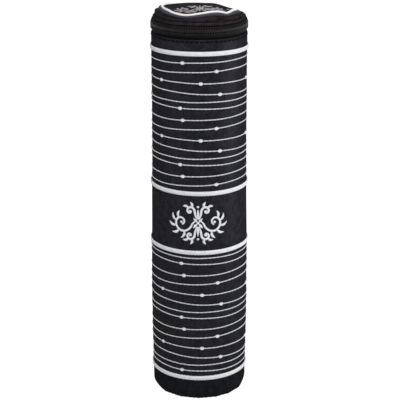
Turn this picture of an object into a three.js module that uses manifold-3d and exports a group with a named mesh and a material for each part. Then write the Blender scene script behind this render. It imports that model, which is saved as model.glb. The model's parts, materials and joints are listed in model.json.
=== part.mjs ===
import * as THREE from 'three';
import { mergeVertices } from 'three/addons/utils/BufferGeometryUtils.js';
import Module from 'manifold-3d';

// A tall round zipped case for a hand-written scroll: a board tube wrapped in
// black leatherette, four braided cords over its seams, and a soft domed lid that a
// zip holds all round but for a hinge tab at the back.
// The origin is the centre of the underside. +Z is up, -Y the front, +Y the hinge.
// Angles run round the case from the front, and grow towards +X.
// Sizes are in millimetres and angles in degrees.

// Driving dimensions
const caseDiameter = 90;
const baseBandHeight = 23.8; // from the underside to the lowest braid's middle
const lowerPanelHeight = 128.1;
const centreBandHeight = 57.8;
const upperPanelHeight = 132.4;
const collarHeight = 12.9; // from the highest braid's middle to the rim
const wrapThickness = 0.8; // the leatherette
const boardThickness = 1.6;
const liningThickness = 0.6;
const seat = 0.3; // clearance between pieces that lie on each other

// Underside
const baseEdgeInset = 7; // how far the rounded edge runs in under the wall
const baseEdgeHeight = 12; // how far it reaches up the wall
const baseTurnIn = 6; // how far the wrap turns in under the base
const baseBoardThickness = 2;

// Braids
const braidHeight = 4.2;
const braidDepth = 1.3;

// Rolled edge of the collar
const rimRollDiameter = 1.2;

// Zip
const tapeThickness = 0.6;
const tapeInset = 0.8; // from the case's wall to the tape's outer face
const tapeTuck = 6; // the tape's hidden edge, below the rim
const grooveDepth = 0.3; // how far the tape is drawn in at the rim
const grooveRise = 0.8; // the drawn-in tape shows this far above the rim
const flareRise = 1.7; // height over which the tape comes out again
const flareFall = 1.2; // height over which it goes in under the lid's hem
const tapeFlat = 4.8; // flat tape on each side of the chain's middle
const rimToChain = 8.1; // from the rim to the chain's middle
const toothPitch = 2.3;
const toothReach = 0.9; // how far a tooth passes the chain's middle
const toothGap = 0.35; // between the two rows, square to their flanks
const rowHeight = 4.5;
const rowThickness = 1;
const ridgeDepth = 0.35; // how far a tooth stands out of its row
const tapeParting = 1.2; // from the chain's middle to a tape's edge

// Hinge tab at the back, where the zip ends
const tabWidth = 36;
const tabThickness = 0.7;
const tabLap = 3.5; // over the collar
const tabTuck = 1.6; // how far the tape's ends run in under the tab

// Lid
const hemGap = 6.1; // from the chain's middle to the lid's hem
const hemHeight = 1.4;
const hemInset = 2; // how far the hem lies inside the case's wall
const hemBulge = 0.2;
const hemTuck = 0.5; // how far the upper tape runs up inside the hem
const creaseInset = 2.6; // how far the crease lies inside the case's wall
const creaseStep = 0.2; // the crease's inner edge, below its outer one
const pipingInset = 9.7; // from the case's wall to the piping's middle
const pipingDiameter = 2.4;
const shoulderRise = 5.4; // from the crease to the piping's mean height
const shoulderLip = 0.3; // the shoulder's top edge, above the piping's middle
const crownRise = 4.1; // from there to the middle of the lid
const lidWave = 3.2; // the soft lid's rise and fall
const lidSway = 4.5; // how far the piping strays in from a circle
const pleatHeight = 3; // how far the shoulder puffs up
const foamThickness = 2;
const lidLiningDrop = 0.2; // the lining's lower edge, above the hem's

// Slider and its pull
const sliderLength = 15;
const sliderNose = 4.2; // half width at the nose
const sliderTail = 4.6; // half width at the tail
const plateThickness = 1.2;
const flangeThickness = 0.8;
const flangeReach = 1.1;
const sliderRun = 0.4; // between the plates and the chain
const sliderStandOff = 1.3; // between the parked slider and the hinge tab
const neckWidth = 1.4;
const neckLength = 2.6;
const neckSet = 3.6; // from the slider's middle to its neck
const looseTapeSet = 11.25; // from the slider's middle to where the upper tape comes loose
const toothEndSet = 2.7; // from the slider's middle to the chain's last tooth
const bridgeLength = 6.8;
const bridgeWidth = 2.4;
const bridgeBar = 1;
const pivotDiameter = 1.3;
const pullPlay = 0.4; // between the pull and the bridge or plate
const pullLength = 20;
const pullArm = 1;
const pullEyeLength = 4.4; // from the pivot to the end of the eye
const pullWidth = 7;
const pullThickness = 1.3;

// Shares of the lid's wave, of its sway and of its pleats, one for every 20 degrees
// from the front. A share below nought is a fall, a bulge outwards or a hollow.
const waveShares = [
  0.48, 1.03, 0.31, 0.32, -0.59, -1.43, -1.75, -1.58, -1.03,
  -0.93, -0.83, -0.67, -0.17, 0.42, 0.85, 0.51, 0.23, -0.1,
];
const swayShares = [
  -0.54, -0.77, -0.73, -0.31, -0.03, 0.36, 0.59, 0.6, 0.44,
  0.24, 0.11, 0.06, 0.04, 0.04, 0.16, 0.12, -0.04, -0.3,
];
const pleatShares = [
  0.03, 0.06, 0.07, 0.03, -0.07, -0.18, -0.2, -0.04, 0.53,
  0.5, 0.32, 0.21, 0.22, 0.27, 0.19, 0.07, 0, -0.01,
];

// Where the lid's inner layers bend, from the middle to the panel's edge
const layerShares = [0, 0.35, 0.65, 0.85, 1];

// Numbers of steps
const ringSteps = 54;
const arcSteps = 4;
const pipingSides = 6;
const pivotSides = 12;

// Angles
const wholeTurn = 360;
const backAngle = wholeTurn / 2;
const quarterTurn = wholeTurn / 4;
const rollStartAngle = -30; // where the collar's wall runs into its rolled edge

// Radii and heights that follow
const caseRadius = caseDiameter / 2;
const wrapInner = caseRadius - wrapThickness;
const boardOuter = wrapInner - seat;
const boardInner = boardOuter - boardThickness;
const liningOuter = boardInner - seat;
const liningInner = liningOuter - liningThickness;
const braidLevels = [baseBandHeight];
for (const height of [lowerPanelHeight, centreBandHeight, upperPanelHeight]) {
  braidLevels.push(braidLevels[braidLevels.length - 1] + height);
}
const rimLevel = braidLevels[braidLevels.length - 1] + collarHeight;
const chainLevel = rimLevel + rimToChain;
const hemLevel = chainLevel + hemGap;
const creaseLevel = hemLevel + hemHeight;
const pipingLevel = creaseLevel + shoulderRise;
const hemRadius = caseRadius - hemInset;
const hemInner = hemRadius - wrapThickness;
const creaseRadius = caseRadius - creaseInset;
const pipingRadius = pipingDiameter / 2;

// Radii of the zip and of the hinge tab over it
const tapeOuter = caseRadius - tapeInset;
const tapeRimOuter = tapeOuter - grooveDepth;
const tapeHemOuter = hemInner - seat;
const rowInner = tapeOuter + seat;
const rowOuter = rowInner + rowThickness;
const tabInner = wrapInner + rimRollDiameter + seat;
const tabOuter = tabInner + tabThickness;
const tabHemInner = hemRadius + hemBulge + seat;
const tabHalfAngle = THREE.MathUtils.radToDeg(tabWidth / 2 / tabOuter);
const tabEdgeAngle = backAngle - tabHalfAngle;
const tapeEndAngle = tabEdgeAngle + THREE.MathUtils.radToDeg(tabTuck / tapeOuter);
const tapeButt = THREE.MathUtils.radToDeg(seat / tapeHemOuter);
const sliderHalfAngle = THREE.MathUtils.radToDeg(sliderLength / 2 / rowOuter);
const sliderParkAngle = THREE.MathUtils.radToDeg(sliderStandOff / rowOuter);
const sliderAngle = tabEdgeAngle - sliderParkAngle - sliderHalfAngle;
const lastToothAngle = sliderAngle + THREE.MathUtils.radToDeg(toothEndSet / rowOuter);
const looseTapeAngle = sliderAngle - THREE.MathUtils.radToDeg(looseTapeSet / rowOuter);

// Geometry from three lists: the points in space, and three corners for each face
function solidFrom(points, faces) {
  const geometry = new THREE.BufferGeometry();
  const flat = points.flatMap((point) => [point.x, point.y, point.z]);
  geometry.setAttribute('position', new THREE.Float32BufferAttribute(flat, 3));
  geometry.setIndex(faces.flat());
  geometry.computeVertexNormals();
  return geometry;
}

// A point at a radius, an angle from the front and a height
function around(radius, angle, height) {
  const turn = THREE.MathUtils.degToRad(angle);
  return new THREE.Vector3(radius * Math.sin(turn), -radius * Math.cos(turn), height);
}

// Carries a section round the axis. sectionAt(angle) gives its corners as (radius,
// height), counterclockwise, and every section has as many. A ring closes on itself;
// an arc has a flat cap at each end.
function carry(sectionAt, angles, isRing) {
  const sections = angles.map((angle) => sectionAt(angle));
  const count = sections[0].length;
  const points = sections.flatMap((section, j) =>
    section.map((corner) => around(corner.x, angles[j], corner.y)));
  const faces = [];
  const spans = isRing ? angles.length : angles.length - 1;
  for (let j = 0; j < spans; j += 1) {
    const here = j * count;
    const next = ((j + 1) % angles.length) * count;
    for (let i = 0; i < count; i += 1) {
      const k = (i + 1) % count;
      const startOnAxis = sections[j][i].x === 0;
      const endOnAxis = sections[j][k].x === 0;
      if (!startOnAxis) faces.push([here + i, next + i, here + k]);
      if (!endOnAxis) faces.push([next + i, next + k, here + k]);
    }
  }
  if (!isRing) {
    const last = (angles.length - 1) * count;
    const firstCap = THREE.ShapeUtils.triangulateShape(sections[0], []);
    const lastCap = THREE.ShapeUtils.triangulateShape(sections[angles.length - 1], []);
    for (const [a, b, c] of firstCap) faces.push([a, b, c]);
    for (const [a, b, c] of lastCap) faces.push([last + a, last + c, last + b]);
  }
  return solidFrom(points, faces);
}

const ringAngles = Array.from({ length: ringSteps }, (_, j) => (j * wholeTurn) / ringSteps);

function anglesBetween(from, to, steps) {
  return Array.from({ length: steps + 1 }, (_, j) => from + ((to - from) * j) / steps);
}

function stepsFor(from, to) {
  return Math.ceil(((to - from) * ringSteps) / wholeTurn);
}

function at(radius, height) {
  return new THREE.Vector2(radius, height);
}

// The outline of a flat-ended tube wall
function wall(inner, outer, low, high) {
  return [at(inner, low), at(outer, low), at(outer, high), at(inner, high)];
}

// The outline of a disc, from the axis out
function disc(outer, low, high) {
  return [at(0, low), at(outer, low), at(outer, high), at(0, high)];
}

// Corners on an arc about (radius, height), between two angles of the section. The
// arc is as high as it is wide unless a rise is given.
function arc(radius, height, size, from, to, steps, rise = size) {
  return anglesBetween(from, to, steps).map((angle) => {
    const turn = THREE.MathUtils.degToRad(angle);
    return at(radius + size * Math.cos(turn), height + rise * Math.sin(turn));
  });
}

function ring(section) {
  return carry(() => section, ringAngles, true);
}

function bow(section, from, to) {
  return carry(() => section, anglesBetween(from, to, stepsFor(from, to)), false);
}

// A smooth value from a list of shares spread evenly round the lid
function shareAt(shares, angle) {
  const place = (((angle / wholeTurn) % 1) + 1) % 1 * shares.length;
  const i = Math.floor(place);
  const t = place - i;
  const count = shares.length;
  const [a, b, c, d] = [i - 1, i, i + 1, i + 2].map((k) => shares[(k + count) % count]);
  const slopeIn = (c - a) / 2;
  const slopeOut = (d - b) / 2;
  const rise = b - c;
  return b + t * (slopeIn + t * (-3 * rise - 2 * slopeIn - slopeOut
    + t * (2 * rise + slopeIn + slopeOut)));
}

const object = new THREE.Group();

const leatherette = { color: 0x1d1c20, roughness: 0.55, metalness: 0 };
const plainLeatherette = { color: 0x222125, roughness: 0.5, metalness: 0 };
const braidThread = { color: 0xd9dade, roughness: 0.5, metalness: 0.1 };
const pipingCloth = { color: 0xf3f1ee, roughness: 0.6, metalness: 0 };
const board = { color: 0x8c7a60, roughness: 0.9, metalness: 0 };
const foam = { color: 0xcfcbc0, roughness: 1, metalness: 0 };
const lining = { color: 0x2a2a30, roughness: 0.9, metalness: 0 };
const zipTape = { color: 0x1a1a1c, roughness: 0.8, metalness: 0 };
const zipCoil = { color: 0x202022, roughness: 0.35, metalness: 0 };
const sliderMetal = { color: 0x2b2b2e, roughness: 0.3, metalness: 0.9 };

function add(name, geometry, look, group = object) {
  const mesh = new THREE.Mesh(geometry, new THREE.MeshStandardMaterial(look));
  mesh.name = name;
  group.add(mesh);
  return mesh;
}

// Base: a leatherette disc let into the turned-in wrap, a pad that rounds the edge,
// and a stiff board inside the tube
const edgeMiddle = caseRadius - baseEdgeInset;
const baseTurnRadius = edgeMiddle - baseTurnIn;
const padDepth = wrapThickness + seat;
const tubeFoot = baseEdgeHeight + seat;
const boardTop = tubeFoot + baseBoardThickness;
const liningFloorTop = boardTop + seat + liningThickness;

// The rounded edge at a depth below the outer surface, from the underside to the wall
function roundedEdge(depth) {
  const [width, rise] = [baseEdgeInset - depth, baseEdgeHeight - depth];
  return arc(edgeMiddle, baseEdgeHeight, width, -quarterTurn, 0, arcSteps, rise);
}

add('base_disc', ring(disc(baseTurnRadius - seat, 0, wrapThickness)), leatherette);
add('base_cover', ring([
  at(baseTurnRadius, wrapThickness),
  at(baseTurnRadius, 0),
  ...roundedEdge(0),
  at(caseRadius, baseBandHeight - seat / 2),
  at(wrapInner, baseBandHeight - seat / 2),
  ...roundedEdge(wrapThickness).reverse(),
]), leatherette);
add('base_pad', ring([
  at(0, padDepth),
  ...roundedEdge(padDepth),
  at(0, baseEdgeHeight),
]), foam);
add('base_board', ring(disc(boardInner - seat, tubeFoot, boardTop)), board);

// Body: the board tube, its lining, and the wrap in three panels and a collar
const tapeFoot = rimLevel - tapeTuck;
const boardTubeTop = tapeFoot - seat;
const liningFlareOuter = tapeRimOuter - tapeThickness - seat;

add('board_tube', ring(wall(boardInner, boardOuter, tubeFoot, boardTubeTop)), board);
add('lining_floor', ring(disc(liningInner - seat, boardTop + seat, liningFloorTop)), lining);
add('lining_tube', ring([
  at(liningInner, boardTop + seat),
  at(liningOuter, boardTop + seat),
  at(liningOuter, boardTubeTop),
  at(liningFlareOuter, tapeFoot + seat),
  at(liningFlareOuter, rimLevel - seat),
  at(liningFlareOuter - liningThickness, rimLevel - seat),
  at(liningFlareOuter - liningThickness, tapeFoot + seat + liningThickness),
  at(liningInner, boardTubeTop + liningThickness),
]), lining);

['lower_panel', 'centre_band', 'upper_panel'].forEach((name, i) => {
  const low = braidLevels[i] + seat / 2;
  const high = braidLevels[i + 1] - seat / 2;
  const look = name === 'centre_band' ? plainLeatherette : leatherette;
  add(name, ring(wall(wrapInner, caseRadius, low, high)), look);
});

const collarFoot = braidLevels[braidLevels.length - 1] + seat / 2;
const rimRollRadius = rimRollDiameter / 2;
const rollLevel = rimLevel - rimRollRadius;
add('collar', ring([
  at(wrapInner, collarFoot),
  at(caseRadius, collarFoot),
  at(caseRadius, rollLevel - rimRollRadius),
  ...arc(wrapInner + rimRollRadius, rollLevel, rimRollRadius, rollStartAngle, backAngle, arcSteps),
]), plainLeatherette);

// Braids over the seams, flat behind and rounded in front
const braidBack = caseRadius + seat;
braidLevels.forEach((level, i) => {
  const half = braidHeight / 2;
  add(`braid_${braidLevels.length - i}`, ring([
    at(braidBack, level - half),
    at(braidBack + braidDepth, level - half / 2),
    at(braidBack + braidDepth, level + half / 2),
    at(braidBack, level + half),
  ]), braidThread);
});

// Zip tapes. Each is drawn in at the rim or the hem and flat under the teeth.
const tapeEdge = chainLevel - tapeParting;
const tapeEdgeUpper = chainLevel + tapeParting;
const tapeTop = hemLevel + hemTuck;

// A thin strip inside a line that runs upwards
function strip(outline, thickness) {
  const back = [...outline].reverse();
  return [...outline.map((p) => at(p.x, p.y)), ...back.map((p) => at(p.x - thickness, p.y))];
}

const lowerRun = [
  at(tapeRimOuter, tapeFoot),
  at(tapeRimOuter, rimLevel + grooveRise),
  at(tapeOuter, rimLevel + grooveRise + flareRise),
];
const upperRun = [
  at(tapeOuter, chainLevel + tapeFlat),
  at(tapeHemOuter, chainLevel + tapeFlat + flareFall),
  at(tapeHemOuter, tapeTop),
];
const lowerStrip = strip([...lowerRun, at(tapeOuter, tapeEdge)], tapeThickness);
const upperStrip = strip([at(tapeOuter, tapeEdgeUpper), ...upperRun], tapeThickness);

add('zip_tape_lower', bow(lowerStrip, -tapeEndAngle, tapeEndAngle), zipTape);
add('zip_tape_upper', bow(upperStrip, -looseTapeAngle, looseTapeAngle), zipTape);
add('zip_tape_end_right',
  bow(upperStrip, looseTapeAngle + tapeButt, tapeEndAngle), zipTape);
add('zip_tape_end_left',
  bow(upperStrip, -tapeEndAngle, -looseTapeAngle - tapeButt), zipTape);

// Hinge: a leatherette tab outside and a lining strip inside, between the tape's ends
const hingeStripAngle = tapeEndAngle + tapeButt;
const tabRun = [
  at(tabOuter, rimLevel - tabLap),
  at(tabOuter, chainLevel + tapeFlat),
  at(tabHemInner + tabThickness, hemLevel),
  at(tabHemInner + tabThickness, creaseLevel - creaseStep),
];
add('hinge_tab', bow(
  strip(tabRun, tabThickness),
  tabEdgeAngle,
  wholeTurn - tabEdgeAngle,
), leatherette);
add('hinge_lining', bow(
  strip([...lowerRun, ...upperRun], tapeThickness),
  hingeStripAngle,
  wholeTurn - hingeStripAngle,
), lining);

// Zip teeth. The two rows' edges run in step, so each tooth lies between two of the
// other row's. Every tooth is one crest and one hollow of its row.
const firstToothAngle = -tabEdgeAngle;
const chainArc = THREE.MathUtils.degToRad(lastToothAngle - firstToothAngle) * rowOuter;
const toothCount = Math.round(chainArc / toothPitch);
const toothAngles = anglesBetween(firstToothAngle, lastToothAngle, 2 * toothCount);
const flankSlope = Math.atan2(2 * toothReach, toothPitch / 2);
const rowParting = toothGap / 2 / Math.cos(flankSlope);

function toothRow(side) {
  const sectionOf = (isCrest) => {
    const outer = isCrest ? rowOuter : rowOuter - ridgeDepth;
    const meeting = isCrest ? -toothReach : toothReach;
    const edge = chainLevel + side * (meeting + rowParting);
    const root = chainLevel + side * rowHeight;
    return wall(rowInner, outer, Math.min(edge, root), Math.max(edge, root));
  };
  const crestFirst = side > 0 ? 0 : 1;
  const step = toothAngles[1] - toothAngles[0];
  return carry(
    (angle) => sectionOf(Math.round((angle - firstToothAngle) / step) % 2 === crestFirst),
    toothAngles,
    false,
  );
}

add('zip_teeth_lower', toothRow(-1), zipCoil);
add('zip_teeth_upper', toothRow(1), zipCoil);

// Lid. The piping's ring rises, falls and sways, and the rest of the lid follows.
function ringRadiusAt(angle) {
  return caseRadius - pipingInset - lidSway * shareAt(swayShares, angle);
}

function ringLevelAt(angle) {
  return pipingLevel + lidWave * shareAt(waveShares, angle);
}

// The lid's upper surface, which curves from its middle down to the piping
function crownLevelAt(radius, angle) {
  const crown = pipingLevel + crownRise;
  return crown + (ringLevelAt(angle) - crown) * (radius / ringRadiusAt(angle)) ** 2;
}

function shoulderAt(angle) {
  const top = at(
    ringRadiusAt(angle) + pipingRadius + seat,
    ringLevelAt(angle) + shoulderLip,
  );
  const middle = at(
    (creaseRadius + top.x) / 2,
    (creaseLevel + top.y) / 2 + pleatHeight * shareAt(pleatShares, angle),
  );
  return { top, middle };
}

add('lid_gusset', carry((angle) => {
  const { top, middle } = shoulderAt(angle);
  return [
    at(hemInner, hemLevel),
    at(hemRadius, hemLevel),
    at(hemRadius + hemBulge, hemLevel + hemHeight / 2),
    at(creaseRadius, creaseLevel),
    middle,
    top,
    at(top.x, top.y - wrapThickness),
    at(middle.x - wrapThickness / 2, middle.y - wrapThickness),
    at(creaseRadius - wrapThickness, creaseLevel - creaseStep),
    at(hemInner, creaseLevel - wrapThickness),
  ];
}, ringAngles, true), leatherette);

add('lid_piping', carry(
  (angle) => arc(ringRadiusAt(angle), ringLevelAt(angle), pipingRadius, 0, wholeTurn, pipingSides)
    .slice(0, pipingSides),
  ringAngles,
  true,
), pipingCloth);

// A line from the middle to the panel's edge, at a depth below the upper surface
function crownLine(angle, depth) {
  const edge = ringRadiusAt(angle) - pipingRadius - seat;
  return layerShares.map((share) =>
    at(edge * share, crownLevelAt(edge * share, angle) - depth));
}

// A layer of the lid's middle, shaped like its upper surface
function layer(depth, thickness) {
  return carry((angle) => [
    ...crownLine(angle, depth + thickness),
    ...crownLine(angle, depth).reverse(),
  ], ringAngles, true);
}

const foamDepth = wrapThickness + seat;
const liningDepth = foamDepth + foamThickness + seat;
add('lid_panel', layer(0, wrapThickness), leatherette);
add('lid_foam', layer(foamDepth, foamThickness), foam);

const lidLiningOuter = tapeHemOuter - tapeThickness - seat;
add('lid_lining', carry((angle) => {
  const bend = at(
    (lidLiningOuter + ringRadiusAt(angle) + pipingRadius) / 2,
    Math.min(creaseLevel, ringLevelAt(angle) - liningDepth),
  );
  return [
    ...crownLine(angle, liningDepth + liningThickness),
    at(bend.x - liningThickness, bend.y - liningThickness),
    at(lidLiningOuter - liningThickness, hemLevel + lidLiningDrop),
    at(lidLiningOuter, hemLevel + lidLiningDrop),
    at(lidLiningOuter, creaseLevel - wrapThickness),
    bend,
    ...crownLine(angle, liningDepth).reverse(),
  ];
}, ringAngles, true), lining);

// Slider, in its own axes: x along the chain towards the hinge tab, y up, z outwards
const wasm = await Module();
wasm.setup();

function toManifold(geometry) {
  const bare = geometry.index ? geometry.toNonIndexed() : geometry.clone();
  bare.deleteAttribute('normal');
  bare.deleteAttribute('uv');
  const merged = mergeVertices(bare);
  return new wasm.Manifold(new wasm.Mesh({
    numProp: 3,
    vertProperties: Float32Array.from(merged.attributes.position.array),
    triVerts: Uint32Array.from(merged.index.array),
  }));
}

function fromManifold(solid) {
  const mesh = solid.getMesh();
  const geometry = new THREE.BufferGeometry();
  geometry.setAttribute('position', new THREE.BufferAttribute(mesh.vertProperties, 3));
  geometry.setIndex(new THREE.BufferAttribute(mesh.triVerts, 1));
  geometry.computeVertexNormals();
  return geometry;
}

function joined(geometries) {
  const solids = geometries.map(toManifold);
  return fromManifold(solids.reduce((whole, next) => whole.add(next)));
}

function plate(shape, low, high) {
  const geometry = new THREE.ExtrudeGeometry(shape, {
    depth: high - low,
    bevelEnabled: false,
    curveSegments: arcSteps,
  });
  return geometry.translate(0, 0, low);
}

function block(x, y, z) {
  const geometry = new THREE.BoxGeometry(x[1] - x[0], y[1] - y[0], z[1] - z[0]);
  return geometry.translate((x[0] + x[1]) / 2, (y[0] + y[1]) / 2, (z[0] + z[1]) / 2);
}

const sliderHalf = rowHeight + seat + flangeThickness; // half its width
const halfLength = sliderLength / 2;

// A slider plate: a shield that is widest behind the nose and rounded at both ends
function shield(half) {
  const shape = new THREE.Shape();
  const tail = Math.min(sliderTail, half - flangeThickness / 2);
  const nose = Math.min(sliderNose, half - flangeThickness / 2);
  shape.moveTo(-halfLength, -tail / 2);
  shape.quadraticCurveTo(-halfLength, -tail, -halfLength + tail / 2, -tail);
  shape.lineTo(halfLength - nose, -half);
  shape.quadraticCurveTo(halfLength, -half, halfLength, -nose / 2);
  shape.quadraticCurveTo(halfLength - nose / 2, 0, halfLength, nose / 2);
  shape.quadraticCurveTo(halfLength, half, halfLength - nose, half);
  shape.lineTo(-halfLength + tail / 2, tail);
  shape.quadraticCurveTo(-halfLength, tail, -halfLength, tail / 2);
  return shape;
}

const outerFace = rowOuter + sliderRun;
const outerTop = outerFace + plateThickness;
const innerReach = tapeOuter - tapeThickness;
const innerFace = Math.sqrt(innerReach ** 2 - halfLength ** 2) - seat;
const pivotLevel = outerTop + pullPlay + pivotDiameter / 2;
const bridgeInside = pivotLevel + pivotDiameter / 2 + pullPlay;
const bridgeTop = bridgeInside + bridgeBar;
const flangeStart = sliderHalf - flangeThickness;
const neckEnd = neckSet + neckLength;

// The bridge is an arch over the pivot, with its feet on the outer plate
function bridge() {
  const half = bridgeLength / 2;
  const arch = new THREE.Shape();
  arch.moveTo(-half, outerFace);
  arch.lineTo(-half, bridgeInside);
  arch.quadraticCurveTo(-half, bridgeTop, -half / 2, bridgeTop);
  arch.lineTo(half / 2, bridgeTop);
  arch.quadraticCurveTo(half, bridgeTop, half, bridgeInside);
  arch.lineTo(half, outerFace);
  arch.lineTo(half - bridgeBar, outerFace);
  arch.lineTo(half - bridgeBar, bridgeInside);
  arch.lineTo(bridgeBar - half, bridgeInside);
  arch.lineTo(bridgeBar - half, outerFace);
  const geometry = plate(arch, -bridgeWidth / 2, bridgeWidth / 2);
  return geometry.rotateX(Math.PI / 2);
}

const carriage = new THREE.Group();
carriage.position.z = chainLevel;
carriage.rotation.set(Math.PI / 2, THREE.MathUtils.degToRad(sliderAngle), 0);
object.add(carriage);

const flangeTail = -halfLength + sliderTail / 2;
const flangeNose = halfLength - sliderNose;
const flangeZ = [outerFace - flangeReach, outerFace + plateThickness / 2];
add('zip_slider', joined([
  plate(shield(sliderHalf), outerFace, outerTop),
  plate(shield(tapeFlat - seat), innerFace - plateThickness, innerFace),
  block(
    [neckSet, neckEnd],
    [-neckWidth / 2, neckWidth / 2],
    [innerFace - plateThickness / 2, outerFace + plateThickness / 2],
  ),
  block([flangeTail, flangeNose], [flangeStart, sliderHalf], flangeZ),
  block([flangeTail, flangeNose], [-sliderHalf, -flangeStart], flangeZ),
  bridge(),
]), sliderMetal, carriage);

// Pull: an eye round the bridge, whose cross bar is the pivot, and a flat tongue
const eyeHalf = bridgeWidth / 2 + pullPlay;
const armOuter = eyeHalf + pullArm;
const tongueHalf = pullWidth / 2;
const tongueStart = pullEyeLength + pullArm;

function tongue() {
  const shape = new THREE.Shape();
  shape.moveTo(-pullEyeLength, -armOuter);
  shape.lineTo(-pullEyeLength, armOuter);
  shape.lineTo(-tongueStart - tongueHalf / 2, tongueHalf);
  shape.lineTo(-pullLength + tongueHalf, tongueHalf);
  shape.absarc(-pullLength + tongueHalf, 0, tongueHalf, Math.PI / 2, (3 * Math.PI) / 2);
  shape.lineTo(-tongueStart - tongueHalf / 2, -tongueHalf);
  return plate(shape, -pullThickness / 2, pullThickness / 2);
}

const armX = [-pullEyeLength - pullArm / 2, 0];
const armZ = [-pullThickness / 2, pullThickness / 2];
const pivotRadius = pivotDiameter / 2;
const pivot = new THREE.CylinderGeometry(pivotRadius, pivotRadius, 2 * armOuter, pivotSides);
const pull = add('zip_pull', joined([
  tongue(),
  block(armX, [eyeHalf, armOuter], armZ),
  block(armX, [-armOuter, -eyeHalf], armZ),
  pivot,
]), sliderMetal, carriage);
pull.position.z = pivotLevel;

export default object;
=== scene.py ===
# %% [markdown]
# A megillah case in Blender. It is a board tube wrapped in black leatherette, with four
# flat silver braids over its seams, stitched silver lines, and a soft lid on a coil zip.
# The frame that is loaded first holds the real sizes, the bodies and the joints. Every
# piece here is built around that frame, in the same place and at the same size.

# %% Kit and frame
import json
import math

import bmesh
import bpy
import numpy as np
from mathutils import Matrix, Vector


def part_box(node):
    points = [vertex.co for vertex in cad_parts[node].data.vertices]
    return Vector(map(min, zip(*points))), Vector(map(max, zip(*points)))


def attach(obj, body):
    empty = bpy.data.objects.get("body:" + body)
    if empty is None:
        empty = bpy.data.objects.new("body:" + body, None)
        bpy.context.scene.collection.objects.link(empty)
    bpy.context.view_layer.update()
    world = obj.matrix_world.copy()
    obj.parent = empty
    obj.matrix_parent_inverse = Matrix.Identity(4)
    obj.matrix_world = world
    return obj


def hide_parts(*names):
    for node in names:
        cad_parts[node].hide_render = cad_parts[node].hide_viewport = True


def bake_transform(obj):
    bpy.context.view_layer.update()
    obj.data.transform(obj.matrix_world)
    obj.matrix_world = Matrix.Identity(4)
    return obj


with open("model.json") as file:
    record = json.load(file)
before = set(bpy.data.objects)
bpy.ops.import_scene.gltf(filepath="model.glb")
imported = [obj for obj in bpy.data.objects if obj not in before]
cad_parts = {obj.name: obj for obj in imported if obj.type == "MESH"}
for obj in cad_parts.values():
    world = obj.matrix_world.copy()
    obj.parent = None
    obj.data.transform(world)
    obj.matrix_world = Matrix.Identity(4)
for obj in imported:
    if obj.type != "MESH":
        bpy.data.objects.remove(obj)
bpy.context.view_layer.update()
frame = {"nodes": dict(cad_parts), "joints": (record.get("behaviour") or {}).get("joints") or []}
MM = 0.001

# %% [markdown]
# Sizes come from the frame's own nodes, so that a piece can't drift away from the part
# it stands for. Each ring has a corner at the very front, which gives its radius. All
# sizes below are in millimetres, and a mesh is scaled to metres when it is made. Angles
# run round the case from the front and grow towards +X.

# %% Sizes read from the frame


def low(node):
    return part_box(node)[0].z / MM


def high(node):
    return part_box(node)[1].z / MM


def reach(node):
    return -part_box(node)[0].y / MM


def corners_of(node):
    """Angle, radius and height of every corner of a node."""
    points = np.array([v.co for v in frame["nodes"][node].data.vertices]) / MM
    angle = np.degrees(np.arctan2(points[:, 0], -points[:, 1]))
    return angle, np.hypot(points[:, 0], points[:, 1]), points[:, 2]


def radii_at(node, height):
    """Inner and outer radius of a node's corners at a height."""
    _, radius, heights = corners_of(node)
    here = radius[np.abs(heights - height) < 0.05]
    return here.min(), here.max()


case_radius = reach("upper_panel")
wrap = high("base_disc")  # the leatherette's thickness
rim_level = high("collar")
chain_level = (low("zip_teeth_lower") + high("zip_teeth_upper")) / 2
hem_level = low("lid_gusset")
crown_level = high("lid_panel")
braids = [f"braid_{number}" for number in (1, 2, 3, 4)]
braid_levels = [(low(name) + high(name)) / 2 for name in braids]
seam_gap = 0.3  # between pieces that lie on each other
turned_edge = 0.3  # how far a skin's edge is rounded off
print("radius", case_radius, "rim", rim_level, "chain", chain_level, "hem", hem_level)
print("braids at", braid_levels)

# %% [markdown]
# The camera stands where the photographer stood: 1.47 m in front, 0.64 m up, looking
# down 17 degrees through a long lens. A long lens far away keeps the case's sides
# nearly parallel, as they are in the photograph.

# %% Camera
camera_pitch = 17.016  # degrees below level


def placed(name, data):
    """A new object of some data, linked into the scene."""
    made = bpy.data.objects.new(name, data)
    bpy.context.scene.collection.objects.link(made)
    return made


camera = placed("camera", bpy.data.cameras.new("camera"))
camera.location = (0.0007, -1.466, 0.6385)
camera.rotation_euler = (math.radians(90 - camera_pitch), 0, 0)
camera.data.lens = 143.3
camera.data.sensor_width = 36
bpy.context.scene.camera = camera
bpy.context.scene.view_settings.view_transform = "Standard"
print("camera at", tuple(camera.location), "lens", camera.data.lens, "mm")

# %% [markdown]
# Every material below is a small graph of nodes. One helper adds a node, sets it and
# links it. Another turns a colour written as hex, as a paint chart has it, into the
# linear numbers that a renderer works with. The last one is the end that the case's
# materials share: a bump, the shader and the output.

# %% Material helpers
CLOTH_MAP = "cloth"  # the pieces' own map, in millimetres along and across
TURN = 2 * math.pi


def linear(hex_colour):
    """Linear RGBA from an sRGB colour such as #1d1c20."""
    values = [int(hex_colour[i : i + 2], 16) / 255 for i in (1, 3, 5)]
    return [v / 12.92 if v <= 0.04045 else ((v + 0.055) / 1.055) ** 2.4 for v in values] + [1]


def add_node(owner, kind, inputs=None, out=0, **settings):
    """Adds a node and gives one of its outputs. inputs holds values, or outputs to link."""
    made = owner.node_tree.nodes.new("ShaderNode" + kind)
    for name, value in settings.items():
        setattr(made, name, value)
    for socket, value in (inputs or {}).items():
        if isinstance(value, bpy.types.NodeSocket):
            owner.node_tree.links.new(value, made.inputs[socket])
        else:
            made.inputs[socket].default_value = value
    return made.outputs[out] if made.outputs else None


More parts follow.
